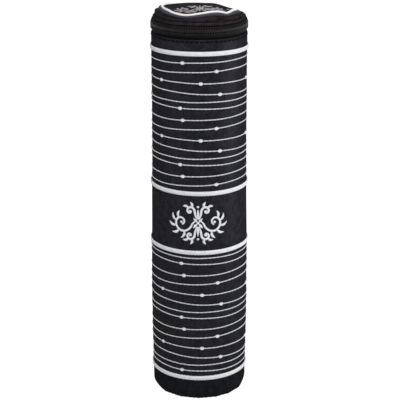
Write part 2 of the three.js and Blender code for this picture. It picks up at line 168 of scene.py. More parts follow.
def blank(owner):
    """A new material or world, with its own nodes taken out."""
    owner.use_nodes = True
    owner.node_tree.nodes.clear()
    return owner


def surface(material, base, roughness, height, depth, shader, strength=0.6, invert=False):
    """A bump of a depth in mm, the shader with its other sockets, and the output."""
    bump_inputs = {"Height": height, "Distance": depth * MM, "Strength": strength}
    bump = add_node(material, "Bump", bump_inputs, invert=invert)
    if "Coat Weight" in shader:
        shader["Coat Normal"] = bump
    shader.update({"Base Color": base, "Roughness": roughness, "Normal": bump})
    skin = add_node(material, "BsdfPrincipled", shader)
    add_node(material, "OutputMaterial", {"Surface": skin})
    return material


# %% [markdown]
# The stage is a pale floor that a camera ray sees nearly white: the floor's own lit
# colour and a little glow of its own that only the camera, mirrors and glass see. The
# glow doesn't hide the case's soft shadow. The world behind it is white in the same way.

# %% Stage
floor_half = 6.0  # metres
floor_white = "#a4a4a4"
floor_glow = 0.93
world_light = 0.33


def seen_share(owner):
    """1 for rays of the camera, of mirrors and of glass, and 0 for all others."""
    rays = add_node(owner, "LightPath").node.outputs
    seen = rays["Is Camera Ray"]
    for name in ("Is Glossy Ray", "Is Transmission Ray"):
        seen = add_node(owner, "Math", {0: seen, 1: rays[name]}, operation="MAXIMUM")
    return seen


floor_paint = blank(bpy.data.materials.new("matt_white_floor_paint"))
floor_body = add_node(floor_paint, "BsdfDiffuse", {"Color": linear(floor_white)})
glow = add_node(floor_paint, "Math", {0: seen_share(floor_paint), 1: floor_glow},
                operation="MULTIPLY")
floor_shine = add_node(floor_paint, "Emission", {"Strength": glow})
floor_sum = add_node(floor_paint, "AddShader", {0: floor_body, 1: floor_shine})
add_node(floor_paint, "OutputMaterial", {"Surface": floor_sum})

floor_mesh = bpy.data.meshes.new("floor")
floor_square = [(-1, -1), (1, -1), (1, 1), (-1, 1)]
floor_mesh.from_pydata([(x * floor_half, y * floor_half, 0) for x, y in floor_square],
                       [], [(0, 1, 2, 3)])
floor_mesh.materials.append(floor_paint)
floor = placed("floor", floor_mesh)

world = blank(bpy.data.worlds.new("white_room"))
world_level = add_node(world, "MapRange",
                       {"Value": seen_share(world), "To Min": world_light, "To Max": 1.0})
backdrop = add_node(world, "Background", {"Strength": world_level})
add_node(world, "OutputWorld", {"Surface": backdrop})
bpy.context.scene.world = world
print("floor and white world made")

# %% [markdown]
# Light: a large soft box high in front lights the case evenly and leaves its foot a
# little darker. A low one at the right gives the broad sheen right of the middle, a
# weak one at the left keeps the braids' far ends from going dull, and one overhead
# lights the lid.

# %% Lamps


def soft_box(name, place, target, size, watts):
    lamp = bpy.data.lights.new(name, "AREA")
    lamp.shape = "RECTANGLE"
    lamp.size, lamp.size_y = size
    lamp.energy = watts
    made = placed(name, lamp)
    made.location = place
    x, y, z = np.array(target) - place
    made.rotation_euler = (math.atan2(math.hypot(x, y), -z), 0, -math.atan2(x, y))
    made.visible_camera = False


soft_box("front_box", (0.12, -1.05, 1.3), (0, 0, 0.26), (1.0, 0.8), 17.6)
soft_box("side_box", (0.56, -0.1, 0.21), (0, 0, 0.19), (0.34, 0.4), 1.55)
soft_box("left_box", (-0.75, -0.45, 0.25), (0, 0, 0.2), (0.4, 0.5), 0.85)
soft_box("top_box", (0.12, 0.9, 1.35), (0, 0, 0.37), (0.5, 0.4), 5)

# %% [markdown]
# Leatherette is a cloth coated with a soft skin of polyurethane, and the grain of real
# leather is rolled into the skin while it is warm. The grain is a field of small
# rounded pebbles with valleys between them. Its real pitch is about 0.6 mm. It is drawn
# at 0.9 mm so that it still shows from where the camera stands. The skin is dull, so it
# stays dark at the case's sides, where a smooth skin would mirror the white room. What
# little gloss it has is a thin worn top coat, set here as a weak coat of its own. Faint
# clouds 5 mm wide make it uneven. Under the lid's piping a painted highlight lightens it
# to a bluish grey, where the shoulder turns up towards the light: the piece's map, which
# climbs with the section, says where that band starts.

# %% Leatherette
GRAIN = 0.9  # mm from pebble to pebble
CLOUD = 5  # mm across a lighter or darker patch


def leatherette(name, colour, valley, roughness, grain, depth, coat, painted_sheen=None):
    material = blank(bpy.data.materials.new(name))
    place = add_node(material, "TexCoord", out="Object")
    scale = 1 / (grain * MM)
    rough = {"Vector": place, "Detail": 4.0, "Roughness": 0.7}
    pebbles = add_node(material, "TexVoronoi",
                       {"Vector": place, "Scale": scale, "Smoothness": 0.6}, feature="SMOOTH_F1")
    fine = add_node(material, "TexNoise", {**rough, "Scale": scale})
    clouds = add_node(material, "TexNoise", {**rough, "Scale": 1 / (CLOUD * MM)})
    dip = add_node(material, "MapRange", {"Value": pebbles, "From Min": 0.15, "From Max": 0.75})
    base = add_node(material, "Mix", {0: dip, 6: linear(colour), 7: linear(valley)}, 2,
                    data_type="RGBA")
    patches = add_node(material, "MapRange", {"Value": clouds, "From Min": 0.3, "From Max": 0.7,
                                              "To Min": 0.25, "To Max": 1.75})
    base = add_node(material, "VectorMath", {0: base, "Scale": patches}, operation="SCALE")
    # Painted highlight: a bluish grey band up the map's climb, for the light on the shoulder under
    # the lid's piping.
    if painted_sheen:
        sheen_colour, first, last = painted_sheen
        climb = add_node(material, "SeparateXYZ",
                         {0: add_node(material, "UVMap", uv_map=CLOTH_MAP)}, "Y")
        edge = add_node(material, "MapRange",
                        {"Value": climb, "From Min": first, "From Max": last})
        base = add_node(material, "Mix", {0: edge, 6: base, 7: linear(sheen_colour)}, 2,
                        data_type="RGBA")
    dullness = add_node(material, "MapRange",
                        {"Value": dip, "To Min": roughness, "To Max": roughness + 0.15})
    low_grain = add_node(material, "Math", {0: fine, 1: 0.35, 2: pebbles},
                         operation="MULTIPLY_ADD")
    shader = {"IOR": 1.5, "Specular IOR Level": 0.0, "Coat Weight": coat, "Coat IOR": 2.4,
              "Coat Roughness": 0.42}
    return surface(material, base, dullness, low_grain, depth, shader, 0.7, True)


panel_skin = leatherette("grained_polyurethane_leatherette", "#202025", "#141418", 0.6, GRAIN,
                         0.12, 0.04)
plain_skin = leatherette("smooth_polyurethane_leatherette", "#212025", "#17161b", 0.6, 0.7,
                         0.05, 0.038)
# The foot's skin is a darker, duller copy of the leatherette. Its darker colour is painted shade
# for the foot, which turns down away from the light.
shaded_foot_skin = leatherette("matt_leatherette_with_painted_shade", "#17181d", "#101116", 0.7, 0.7,
                        0.05, 0.022)
# A painted highlight lightens this skin to a bluish grey in a band under the piping.
lid_skin = leatherette("soft_warm_black_leatherette", "#262023", "#181416", 0.6, GRAIN,
                       0.12, 0.043, painted_sheen=("#45444d", 10.3, 12.0))
print("leatherette:", [m.name for m in (panel_skin, plain_skin, shaded_foot_skin, lid_skin)])

# %% [markdown]
# Embroidery thread is trilobal rayon or polyester: each filament throws light back like
# a tiny prism, so a stitch looks satin and brightens along its crown. Thread is two
# plies twisted together. The twist is drawn as a slanted wave along each stitch, from
# the stitch's own map, which is in millimetres.

# %% Thread, cord and piping cloth


def wave_scale(pitch):
    """The scale at which Blender's wave texture repeats once in a pitch."""
    return TURN / 20 / pitch


def thread(name, colour, hollow, roughness, twist, depth, gloss=0.5, sheen=0.0):
    material = blank(bpy.data.materials.new(name))
    slanted = add_node(material, "TexWave",
                       {"Vector": add_node(material, "UVMap", uv_map=CLOTH_MAP),
                        "Scale": 2 * wave_scale(twist), "Distortion": 0.6, "Detail": 1.0},
                       "Fac", wave_type="BANDS", bands_direction="DIAGONAL")
    mottle = add_node(material, "TexNoise",
                      {"Vector": add_node(material, "TexCoord", out="Object"),
                       "Scale": 1 / (CLOUD * MM), "Detail": 4.0, "Roughness": 0.65})
    share = add_node(material, "Math", {0: slanted, 1: 0.6, 2: mottle}, operation="MULTIPLY_ADD")
    place = add_node(material, "MapRange", {"Value": share, "From Min": 0.35, "From Max": 1.15})
    tint = add_node(material, "Mix", {0: place, 6: linear(hollow), 7: linear(colour)}, 2,
                    data_type="RGBA")
    shader = {"IOR": 1.53, "Specular IOR Level": gloss, "Sheen Weight": sheen}
    return surface(material, tint, roughness, slanted, depth, shader)


line_thread = thread("grey_silver_rayon_thread", "#e2e3e7", "#bbbdc2", 0.38, 1.1, 0.1)
dot_thread = thread("bright_silver_rayon_thread", "#f4f5f7", "#dcdee1", 0.34, 0.9, 0.05)
ornament_thread = thread("white_silver_rayon_thread", "#f6f7f9", "#d6dade", 0.34, 0.9, 0.05)
lid_thread = thread("dull_silver_rayon_thread", "#9d999b", "#716d70", 0.42, 0.9, 0.05)
braid_cord = thread("silver_viscose_braid", "#efeff1", "#ced0d4", 0.42, 0.8, 0.12, sheen=0.1)
piping_cloth = thread("white_cotton_piping", "#f6f4f1", "#e3dfda", 0.6, 0.7, 0.06, sheen=0.15)
black_thread = thread("black_bonded_nylon_thread", "#0f0e10", "#070708", 0.7, 0.8, 0.08, 0.02)
print("threads:", [m.name for m in (line_thread, dot_thread, ornament_thread, lid_thread)])

# %% [markdown]
# Woven things: the zip's tape is a polyester twill, and the lining a plain-woven
# taffeta. Two waves at right angles give the warp and the weft. The tape's yarns are
# 0.6 mm apart and the taffeta's are drawn at 0.8 mm, coarser than the real 0.3 mm.

# %% Woven cloth


def woven(name, colour, hollow, pitch, depth, roughness, sheen):
    material = blank(bpy.data.materials.new(name))
    yarn = {"Vector": add_node(material, "UVMap", uv_map=CLOTH_MAP), "Scale": wave_scale(pitch),
            "Distortion": 0.3}
    warp, weft = [add_node(material, "TexWave", yarn, "Fac", wave_type="BANDS",
                           bands_direction=way) for way in "XY"]
    over = add_node(material, "Math", {0: warp, 1: weft}, operation="MULTIPLY")
    tint = add_node(material, "Mix", {0: over, 6: linear(hollow), 7: linear(colour)}, 2,
                    data_type="RGBA")
    shader = {"IOR": 1.54, "Sheen Weight": sheen, "Specular IOR Level": 0.05}
    return surface(material, tint, roughness, over, depth, shader, 0.8)


tape_cloth = woven("black_polyester_twill_tape", "#1f1a1e", "#0f0c0e", 0.6, 0.12, 0.8, 0.05)
lining_cloth = woven("charcoal_nylon_taffeta", "#35353c", "#222228", 0.8, 0.08, 0.6, 0.2)
print("cloths:", tape_cloth.name, lining_cloth.name)

# %% [markdown]
# Board is pressed grey-brown pulp with short fibres on its face. Foam is cut
# polyurethane with open cells. The zip's coil is drawn nylon wire, and its slider is
# zinc, cast in a mould and baked in black enamel. All four are speckled by one noise.

# %% Board, foam, nylon and enamel


def speckled(name, colour, other, size, depth, roughness, gloss=0.5, stretch=(1, 1, 1)):
    material = blank(bpy.data.materials.new(name))
    place = add_node(material, "Mapping", {"Vector": add_node(material, "TexCoord", out="Object"),
                                           "Scale": stretch})
    noise = add_node(material, "TexNoise",
                     {"Vector": place, "Scale": 1 / (size * MM), "Detail": 5.0})
    share = add_node(material, "MapRange", {"Value": noise, "From Min": 0.35, "From Max": 0.65})
    tint = add_node(material, "Mix", {0: share, 6: linear(colour), 7: linear(other)}, 2,
                    data_type="RGBA")
    dullness = add_node(material, "MapRange", {"Value": noise, "To Min": roughness - 0.08,
                                               "To Max": roughness + 0.08})
    return surface(material, tint, dullness, noise, depth, {"Specular IOR Level": gloss})


grey_board = speckled("grey_pulp_board", "#8c7a60", "#77674f", 1.5, 0.15, 0.9,
                      stretch=(1, 1, 0.3))
soft_foam = speckled("cut_polyurethane_foam", "#d2cdc0", "#b5ae9e", 0.8, 0.4, 0.95)
coil_nylon = speckled("black_drawn_nylon_wire", "#161114", "#0d090c", 3.0, 0.02, 0.36, 0.2)
black_enamel = speckled("black_baked_enamel_on_zinc", "#1b1b1d", "#252528", 6.0, 0.02, 0.28)
print("materials in all:", len(bpy.data.materials))

# %% [markdown]
# Nearly all of the case is a ring: one section carried round the axis. carried() does
# that. The section may change from angle to angle, which is how the soft lid gets its
# rise and fall. It goes round the section counterclockwise, so that faces look out. A
# ring that isn't closed gets a flat end at both ends.

# %% Rings
RING_STEPS = 288
ring_angles = np.arange(RING_STEPS) * 360 / RING_STEPS
ring_turns = np.radians(ring_angles)


def beside(*columns):
    """Numbers or arrays put side by side, as pairs or as points."""
    return np.stack(np.broadcast_arrays(*columns), -1)


def bell(away):
    """1 at 0, and less and less to both sides of it."""
    return np.exp(-away**2)


def around(radius, angle, height):
    """Points in space from radius, angle and height, which may be arrays."""
    turn = np.radians(angle)
    return beside(radius * np.sin(turn), -radius * np.cos(turn), height)


def outwards(angle):
    """The direction away from the case's axis."""
    return around(1.0, angle, 0.0)


def way_along(path):
    """How far along a path each point is, and then its start once it is closed."""
    steps = np.linalg.norm(np.diff(path, axis=0, append=path[:1]), axis=1)
    return np.append(0, np.cumsum(steps))


def grid(run, climb, number, count, corners, closed):
    """Faces and map of a number of tubes, each with count rings of corners."""
    spans = count if closed else count - 1
    t, p, s = np.meshgrid(np.arange(number), np.arange(spans), np.arange(corners), indexing="ij")
    places = [(p, s), (p + 1, s), (p + 1, s + 1), (p, s + 1)]
    faces = np.stack([(t * count + a % count) * corners + b % corners for a, b in places], -1)
    uvs = np.stack([beside(run[a], climb[b]) for a, b in places], 3)
    return faces.reshape(-1, 4).tolist(), uvs.reshape(-1, 2).tolist()


def carried(section, angles=ring_angles, closed=True):
    """Points, faces and map of a section, given as (radius, height) pairs."""
    section = np.asarray(section, float)
    section = np.broadcast_to(section, (len(angles), *section.shape[-2:]))
    count, corners = section.shape[:2]
    points = around(section[..., 0], angles[:, None], section[..., 1])
    run = np.radians(np.append(angles, angles[0] + 360)) * section[..., 0].max()
    faces, uvs = grid(run, way_along(section.mean(0)), 1, count, corners, closed)
    if not closed:
        for end, order in ((0, 1), (count - 1, -1)):
            faces.append([end * corners + b for b in range(corners)][::order])
            uvs.extend(section[end, ::order].tolist())
    return points.reshape(-1, 3), faces, uvs


# The skins lie on thin wadding, which makes the tube a little fuller below its middle.
wadding_levels = [20, 60, 100, 150, 200, 250, 300, 342]
wadding_swell = [0.0, 0.9, 1.2, 1.0, 0.45, -0.1, -0.15, 0.0]


def body_radius(height):
    """The skins' radius at a height, before lines and hollows."""
    return case_radius + np.interp(height, wadding_levels, wadding_swell)


# It also bows the seams and the stitched lines a little at the case's sides.
bow_levels = [30, 140, 214, 257, 300, 340]
bow_heights = [0.5, 0.55, 0.4, 0.15, -0.1, -0.3]


def bow(level, angle):
    """How far a seam or a line strays from its level at an angle."""
    return np.interp(level, bow_levels, bow_heights) * (1 - np.cos(2 * np.radians(angle)))


def rounded(inner, outer, bottom, top, size=0.25, rows=2):
    """A tube wall's section, with its four corners broken by a small round."""
    heights = np.linspace(bottom + size, top - size, rows)
    return [(inner + size, bottom), (outer - size, bottom), *((outer, h) for h in heights),
            (outer - size, top), (inner + size, top), *((inner, h) for h in heights[::-1])]


def joined(parts):
    """Several sets of points, faces and maps as one."""
    points, faces, uvs, start = [], [], [], 0
    for part_points, part_faces, part_uvs in parts:
        points.append(part_points)
        faces.extend([[start + corner for corner in face] for face in part_faces])
        uvs.extend(part_uvs)
        start += len(part_points)
    return np.concatenate(points), faces, uvs


def piece(name, part, material, slot, body, *nodes, sharp=40, weld=False):
    """A mesh object that rides on a body."""
    points, faces, uvs = part
    mesh = bpy.data.meshes.new(name)
    mesh.from_pydata((points * MM).tolist(), [], faces)
    cloth = mesh.uv_layers.new(name=CLOTH_MAP)
    cloth.uv.foreach_set("vector", np.asarray(uvs, np.float32).ravel())
    if weld:  # joins corners that fall on one place, such as a disc's middle
        work = bmesh.new()
        work.from_mesh(mesh)
        bmesh.ops.remove_doubles(work, verts=work.verts, dist=1e-7)
        work.to_mesh(mesh)
        work.free()
    mesh.shade_smooth()
    mesh.set_sharp_from_angle(angle=math.radians(sharp))
    mesh.materials.append(material)
    made = placed(name, mesh)
    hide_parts(*nodes)
    if body:
        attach(made, body)
    print(name, len(mesh.polygons), "faces")
    return made


def disc(name, node, material, slot):
    """A flat round piece of a node's size."""
    line = [(0, low(node)), (reach(node), low(node)), (reach(node), high(node)), (0, high(node))]
    piece(name, carried(line), material, slot, "case", node, weld=True)


# %% [markdown]
# Threads, cords and wires are solid tubes along a path, flattened a little. tubes()
# makes many at once: paths is a list of equally long paths, or one path. A section
# turns with the surface it lies on, which outward gives, or keeps its width along a
# given direction across.

# %% Tubes
UP = (0.0, 0.0, 1.0)


def unit(vectors):
    return vectors / np.linalg.norm(vectors, axis=-1, keepdims=True)


def tubes(paths, half_width, half_height, outward=None, across=None, sides=8, closed=False):
    paths = paths.reshape(-1, *paths.shape[-2:])
    number, count = paths.shape[:2]
    if closed:
        step = unit(np.roll(paths, -1, 1) - np.roll(paths, 1, 1))
    else:
        step = unit(np.gradient(paths, axis=1))
    if across is None:
        across = np.cross(step, outward)
    side = unit(across - step * (across * step).sum(-1, keepdims=True))
    lift = np.cross(side, step)
    turn = (np.arange(sides) * TURN / sides)[:, None]
    width, height = [np.broadcast_to(half, (number, count))[..., None, None]
                     for half in (half_width, half_height)]
    points = (paths[:, :, None] + side[:, :, None] * width * np.cos(turn)
              + lift[:, :, None] * height * np.sin(turn))
    run = way_along(paths[0])
    girth = math.pi * (np.mean(half_width) + np.mean(half_height)) / sides
    climb = np.arange(sides + 1) * girth
    faces, uvs = grid(run, climb, number, count, sides, closed)
    if not closed:
        for one in range(number):
            for end, order in ((0, 1), (count - 1, -1)):
                first = (one * count + end) * sides
                faces.append(list(range(first, first + sides))[::order])
                uvs.extend([[run[end], b] for b in climb[:-1]])
    return points.reshape(-1, 3), faces, uvs


# %% [markdown]
# The base. The wrap runs down over a rounded foam edge and is turned in under the tube,
# where it is drawn in to a smaller ring. The edge is twice as high as it is wide. The
# skin can't shrink, so it gathers: it lies in fourteen flat lengths with soft corners
# between them, and nearer the disc each length breaks up into small pleats. A
# leatherette disc closes the underside.

# %% Base
base_height = low("base_board") - seam_gap  # of the rounded edge
base_inset = case_radius - radii_at("base_cover", 0)[1]
base_turn_in = 6
gather_corners = [-84, -52, -27, 0, 25, 44, 66, 92, 118, 144, 170, 196, 222, 249, 276]
facet_depth = 0.8
corner_reach = 0.5
pleat_count = 56
pleat_depth = 0.3
arc_rows = 18
base_seam = low("lower_panel") - seam_gap / 2
inner_radius = case_radius - wrap
turned_radius = case_radius - base_inset - base_turn_in


def edge_arc(depth, first, last):
    """Points on the base's rounded edge, at a depth under its surface."""
    turn = np.radians(np.linspace(first, last, arc_rows))
    return beside(case_radius - base_inset + (base_inset - depth) * np.cos(turn),
                  base_height + (base_height - depth) * np.sin(turn))


wall_rows = [(case_radius, h) for h in np.linspace(base_height + 1, base_seam, 8)]
base_line = np.array([(turned_radius, 0), *edge_arc(0, -90, 0), *wall_rows,
                      (inner_radius, base_seam), *edge_arc(wrap, 0, -90), (turned_radius, wrap)])
gather_start = gather_corners[0]
gather_index = np.interp((ring_angles[:, None] - gather_start) % 360 + gather_start,
                         gather_corners, range(len(gather_corners)))
flatness = np.abs(np.sin(gather_index * math.pi)) ** 0.8  # 0 at a corner, 1 between two
edge_share = np.sin(np.linspace(0, math.pi, arc_rows)) ** 0.8
gather_share, pleat_share = np.zeros((2, len(base_line)))  # of each corner of the section
gather_share[1:arc_rows + 1] = edge_share
gather_share[-arc_rows - 1:-1] = edge_share[::-1]
pleat_share[1:arc_rows // 2] = np.sin(np.linspace(0.2, 1, arc_rows // 2 - 1) * math.pi)
pleats = np.sin(ring_turns * pleat_count + 1.3 * np.sin(ring_turns * 5))[:, None]
drawn = (corner_reach - flatness * facet_depth) * gather_share
gathered = np.broadcast_to(base_line, (RING_STEPS, *base_line.shape)).copy()
gathered[..., 0] += drawn
gathered[..., 1] -= drawn * 0.4
gathered[..., 1] += np.maximum(0, pleats) * pleat_share * pleat_depth
piece("base_cover_skin", carried(gathered), shaded_foot_skin, "leatherette", "case", "base_cover")

disc_edge = reach("base_disc")
disc_line = [(0, 0), (disc_edge - 0.3, 0), (disc_edge, 0.25), (disc_edge, wrap), (0, wrap)]
piece("base_disc_skin", carried(disc_line), panel_skin, "leatherette", "case", "base_disc",
      weld=True)

pad_low = low("base_pad")
pad_line = [(0, pad_low), *edge_arc(pad_low + facet_depth, -90, 0), (0, base_height)]
base_pad = piece("base_pad_foam", carried(pad_line), soft_foam, "foam", "case", "base_pad",
                 weld=True)
disc("base_board_disc", "base_board", grey_board, "board")

# %% [markdown]
# The tube that keeps the case round is board, and its lining is a taffeta tube glued
# inside it, which flares over the zip tape's lower edge at the top. A disc of the same
# cloth lies on the bottom. They show only when the lid is open.

# %% Tube and linings
cloth_thickness = 0.6  # of the zip's tapes and of the linings
board_thickness = 1.6
board_outer = reach("board_tube")
board_inner = board_outer - board_thickness
board_top = high("board_tube")
tube_line = rounded(board_inner, board_outer, low("board_tube"), board_top, rows=40)
piece("board_tube_wall", carried(tube_line), grey_board, "board", "case", "board_tube")

lining_outer = board_inner - seam_gap
lining_inner = lining_outer - cloth_thickness
lining_low, lining_top = low("lining_tube"), high("lining_tube")
flare_outer = radii_at("lining_tube", lining_top)[1]
lining_line = [
    (lining_inner, lining_low),
    (lining_outer, lining_low),
    *((lining_outer, h) for h in np.linspace(20, board_top - 1, 30)),
    (lining_outer, board_top),
    (flare_outer, board_top + 0.6),
    (flare_outer, lining_top - 0.3),
    (flare_outer - 0.3, lining_top),
    (flare_outer - 0.6, lining_top - 0.3),
    (flare_outer - 0.6, board_top + 1.2),
    *((lining_inner, h) for h in np.linspace(board_top, 20, 30)),
]
piece("lining_tube_cloth", carried(lining_line), lining_cloth, "lining", "case", "lining_tube")
disc("lining_floor_cloth", "lining_floor", lining_cloth, "lining")

# %% [markdown]
# The two tall panels carry the stitching. Seen unrolled, it is one pattern of six lines
# that repeats every 54 mm or so, down the panel. Each line wavers a little, because the
# leatherette moves under the needle, and has one to three satin dots. The pattern is
# repeated once more round the back.

# %% Stitched lines
# Panel: level of its topmost line, height of the pattern, turn of its dots in degrees
panels = {"upper_panel": (333.65, 53.8, 0.0), "lower_panel": (183.1, 54.5, 1.6)}
# Line: drop from the pattern's top, tilt in mm, angles of its dots
pattern = {
    "A": (0, 1.0, [-20.0]),
    "B": (8.7, 1.7, [20.7]),
    "C": (19.15, -0.85, [-50.8, 1.7, 75.0]),
    "D": (29.1, -2.2, [25.3]),
    "E": (36.9, -0.3, [-82.0]),
    "F": (43.1, -0.9, [-23.2]),
}
line_margin = 5.0  # from a panel's edge to its nearest line


def wave(letter, level, angle):
    """How far a line strays from its level at an angle."""
    turn = np.radians(angle)
    waver = 0.12 * np.sin(6 * turn + ord(letter))
    return pattern[letter][1] * np.sin(turn) + waver + bow(level, angle)


def lines_of(panel):
    """(letter, level) for each line on a panel."""
    top, height, _ = panels[panel]
    levels = [(letter, top - repeat * height - drop)
              for repeat in range(4) for letter, (drop, _, _) in pattern.items()]
    return [(letter, level) for letter, level in levels
            if low(panel) + line_margin < level < high(panel) - line_margin]


for panel in panels:
    print(panel, [f"{letter} {level:.1f}" for letter, level in lines_of(panel)])

# %% [markdown]
# A panel's skin isn't a perfect cylinder. Besides the swell of its wadding, the thread
# draws it in by a quarter of a millimetre along each line, and the glued leatherette
# has faint hollows. All of it is in the mesh, so that light and outline show it.

# %% Panels
valley_depth = 0.28
valley_width = 1.1


def hollows(angle, height):
    """Faint, wide hollows of a glued skin, in mm."""
    turn = np.radians(angle)
    return 0.05 * (np.sin(3 * turn + height / 17) + np.sin(5 * turn - height / 11 + 1.7)
                   + np.sin(2 * turn + height / 29 + 0.6) - 1.5)


def wall_skin(node, row_height, dips=()):
    bottom, top = low(node), high(node)
    rows = np.linspace(bottom + turned_edge, top - turned_edge, round((top - bottom) / row_height))
    angle = ring_angles[:, None]
    radius = body_radius(rows) + hollows(angle, rows)
    for letter, level in dips:
        radius -= valley_depth * bell((rows - level - wave(letter, level, angle)) / valley_width)
    skin = beside(radius, rows)
    ends = [(body_radius(bottom) - turned_edge, bottom), (body_radius(top) - turned_edge, top),
            (inner_radius, top), (inner_radius, bottom)]
    first, *last = [np.broadcast_to(end, (RING_STEPS, 1, 2)) for end in ends]
    return carried(np.concatenate([first, skin, *last], 1))


for panel in panels:
    piece(f"{panel}_skin", wall_skin(panel, 0.9, lines_of(panel)), panel_skin, "leatherette",
          "case", panel)
piece("centre_band_skin", wall_skin("centre_band", 2), plain_skin, "plain_leatherette", "case",
      "centre_band")

# %% [markdown]
# Each line is a row of long stitches of thick thread, end to end. A stitch is a flat
# tube that dives into the skin at both ends. Some seventy stitches to a line are enough
# to read as thread up close and as a thin silver line from a step away.

# %% Line stitches
stitch_length = 4.0
stitch_half_width = 0.52
stitch_half_height = 0.3
stitch_rise = 0.22
stitch_lap = 1.04  # each stitch reaches a little into the next
STITCH = np.linspace(-1, 1, 7)  # places along any stitch, from its one end to the other


def line_stitches(letter, level):
    count = round(TURN * case_radius / stitch_length)
    starts = np.arange(count)[:, None] * 360 / count
    angle = starts + (STITCH + 1) / 2 * 360 / count * stitch_lap
    ride = 0.1 - valley_depth / 2 + stitch_rise * (1 - STITCH**4)
    paths = around(body_radius(level) + ride, angle, level + wave(letter, level, angle))
    taper = 1 - 0.45 * STITCH**6
    return tubes(paths, stitch_half_width * taper, stitch_half_height * taper, outwards(angle))


for panel in panels:
    rows = joined([line_stitches(letter, level) for letter, level in lines_of(panel)])
    piece(f"{panel}_stitched_lines", rows, line_thread, "braid", "case", sharp=80)

# %% [markdown]
# Dots and ornament are satin stitch: short threads laid side by side across a shape,
# proud in the middle and drawn tight at the shape's edges. satin() lays them along a
# path on any surface. place() turns two flat coordinates and a lift into a point in
# space, so the same stitch works on the round wall and on the domed lid.

# %% Satin stitch
thread_pitch = 0.46
thread_half_width = thread_pitch * 0.56  # wide enough to touch its neighbours
thread_half_height = thread_pitch * 0.5
thread_sink = 0.12  # of a thread's ends, into the skin
full_shape = 1.4  # a shape with a smaller half width rises less


def satin(place, path, half_width, lift=0.55):
    """Threads across a path (n, 2), one at each of its points."""
    run = unit(np.gradient(path, axis=0))
    across = beside(-run[:, 1], run[:, 0])
    q = np.linspace(-1, 1, 9)
    flat = path[:, None] + across[:, None] * half_width[:, None, None] * q[:, None]
    rise = np.minimum(1, half_width / full_shape)[:, None] * lift
    dome = rise * (1 - q**2) ** 0.6 - thread_sink
    points = place(flat[..., 0], flat[..., 1], dome)
    outward = unit(place(flat[..., 0], flat[..., 1], dome + 1) - points)
    return tubes(points, thread_half_width, thread_half_height, outward, sides=6)


def on_wall(angle, level):
    """A place on the case's wall: u runs round it and v up it, from a middle point."""

    def place(u, v, lift):
        turned = angle + np.degrees(u / case_radius)
        return around(body_radius(level + v) + lift, turned, level + v)

    return place


def shifted(place, u0, v0):
    return lambda u, v, lift: place(u + u0, v + v0, lift)


def dot(place, half_width, half_height=None):
    """An oval of satin stitch, or a round one."""
    half_height = half_height or half_width
    s = np.arange(-half_height + thread_pitch / 2, half_height, thread_pitch)
    half_widths = half_width * np.sqrt(1 - (s / half_height) ** 2) + 0.1
    return satin(place, beside(0.0, s), half_widths, lift=0.75)


dot_half_width = 1.9
dot_half_height = 1.5
for panel, (_, _, panel_turn) in panels.items():
    dots = []
    for letter, level in lines_of(panel):
        for half in (0, 180):
            for dot_angle in pattern[letter][2]:
                middle = dot_angle + half + panel_turn
                spot = on_wall(middle, level + wave(letter, level, middle))
                dots.append(dot(spot, dot_half_width, dot_half_height))
    piece(f"{panel}_satin_dots", joined(dots), dot_thread, "braid", "case", sharp=80)

# %% [markdown]
# The centre band's ornament is a generic pair of leafy curls about a small flower, in
# satin stitch. It is drawn for one side and mirrored. A curl is a spiral whose radius
# shrinks evenly with its angle, and its leaves grow from its outer side.

# %% Ornament
# Curl: middle, first and last radius, first and last angle, its leaves as angle and length,
# and where its stem starts and bends
curls = [
    ((16.5, 0.5), (10.5, 2.2), (200, 610),
     {250: 7, 290: 7.5, 330: 7.5, 370: 7, 410: 6}, (1.0, 2.0), (5.2, 1.2)),
    ((8.0, 11.0), (4.8, 1.3), (185, -190), {120: 4.5, 60: 5}, (0.9, 3.6), (3.0, 6.5)),
    ((8.0, -11.5), (4.8, 1.3), (175, 550), {240: 4.5, 300: 5}, (0.9, -3.6), (3.0, -7.0)),
]
leaf_shape = np.array([0.35, 0.95, 1.25, 1.1, 0.7, 0.2])  # half widths at even steps
vine_shape = np.array([0.45, 0.85, 1.0, 1.0, 0.85, 0.6])


def polar(middle, radius, angle):
    """Flat points at a distance from a middle, in a direction in degrees."""
    turn = np.radians(angle)
    return beside(middle[0] + radius * np.cos(turn), middle[1] + radius * np.sin(turn))


def quadratic(start, bend, end, steps):
    """A curve from start towards bend and on to end, without its last point."""
    t = np.linspace(0, 1, steps)[:-1, None]
    start, bend, end = (np.array(point, float) for point in (start, bend, end))
    return start * (1 - t) ** 2 + 2 * bend * t * (1 - t) + end * t * t


def leaf(root, direction, length, bend):
    """A leaf's midline, from its root in a direction in degrees, bent a little."""
    share = np.linspace(0, 1, 20)[:, None]
    along = polar((0, 0), 1, direction)
    aside = beside(-along[1], along[0])
    return root + along * (share * length) + aside * (bend * length * np.sin(share * math.pi))


def curl(middle, radii, ends, leaves):
    """A spiral and the leaves that grow from its outer side, as midlines."""
    first, last = ends

    def at(angle, out=0.0):
        shrink = (radii[1] / radii[0]) ** ((angle - first) / (last - first))
        return polar(middle, radii[0] * shrink + out, angle)

    heading = math.copysign(1, last - first)
    grown = [leaf(at(angle, 0.5), angle + heading * 50, length, -0.18 * heading)
             for angle, length in leaves.items()]
    return at(np.linspace(first, last, 60)), grown


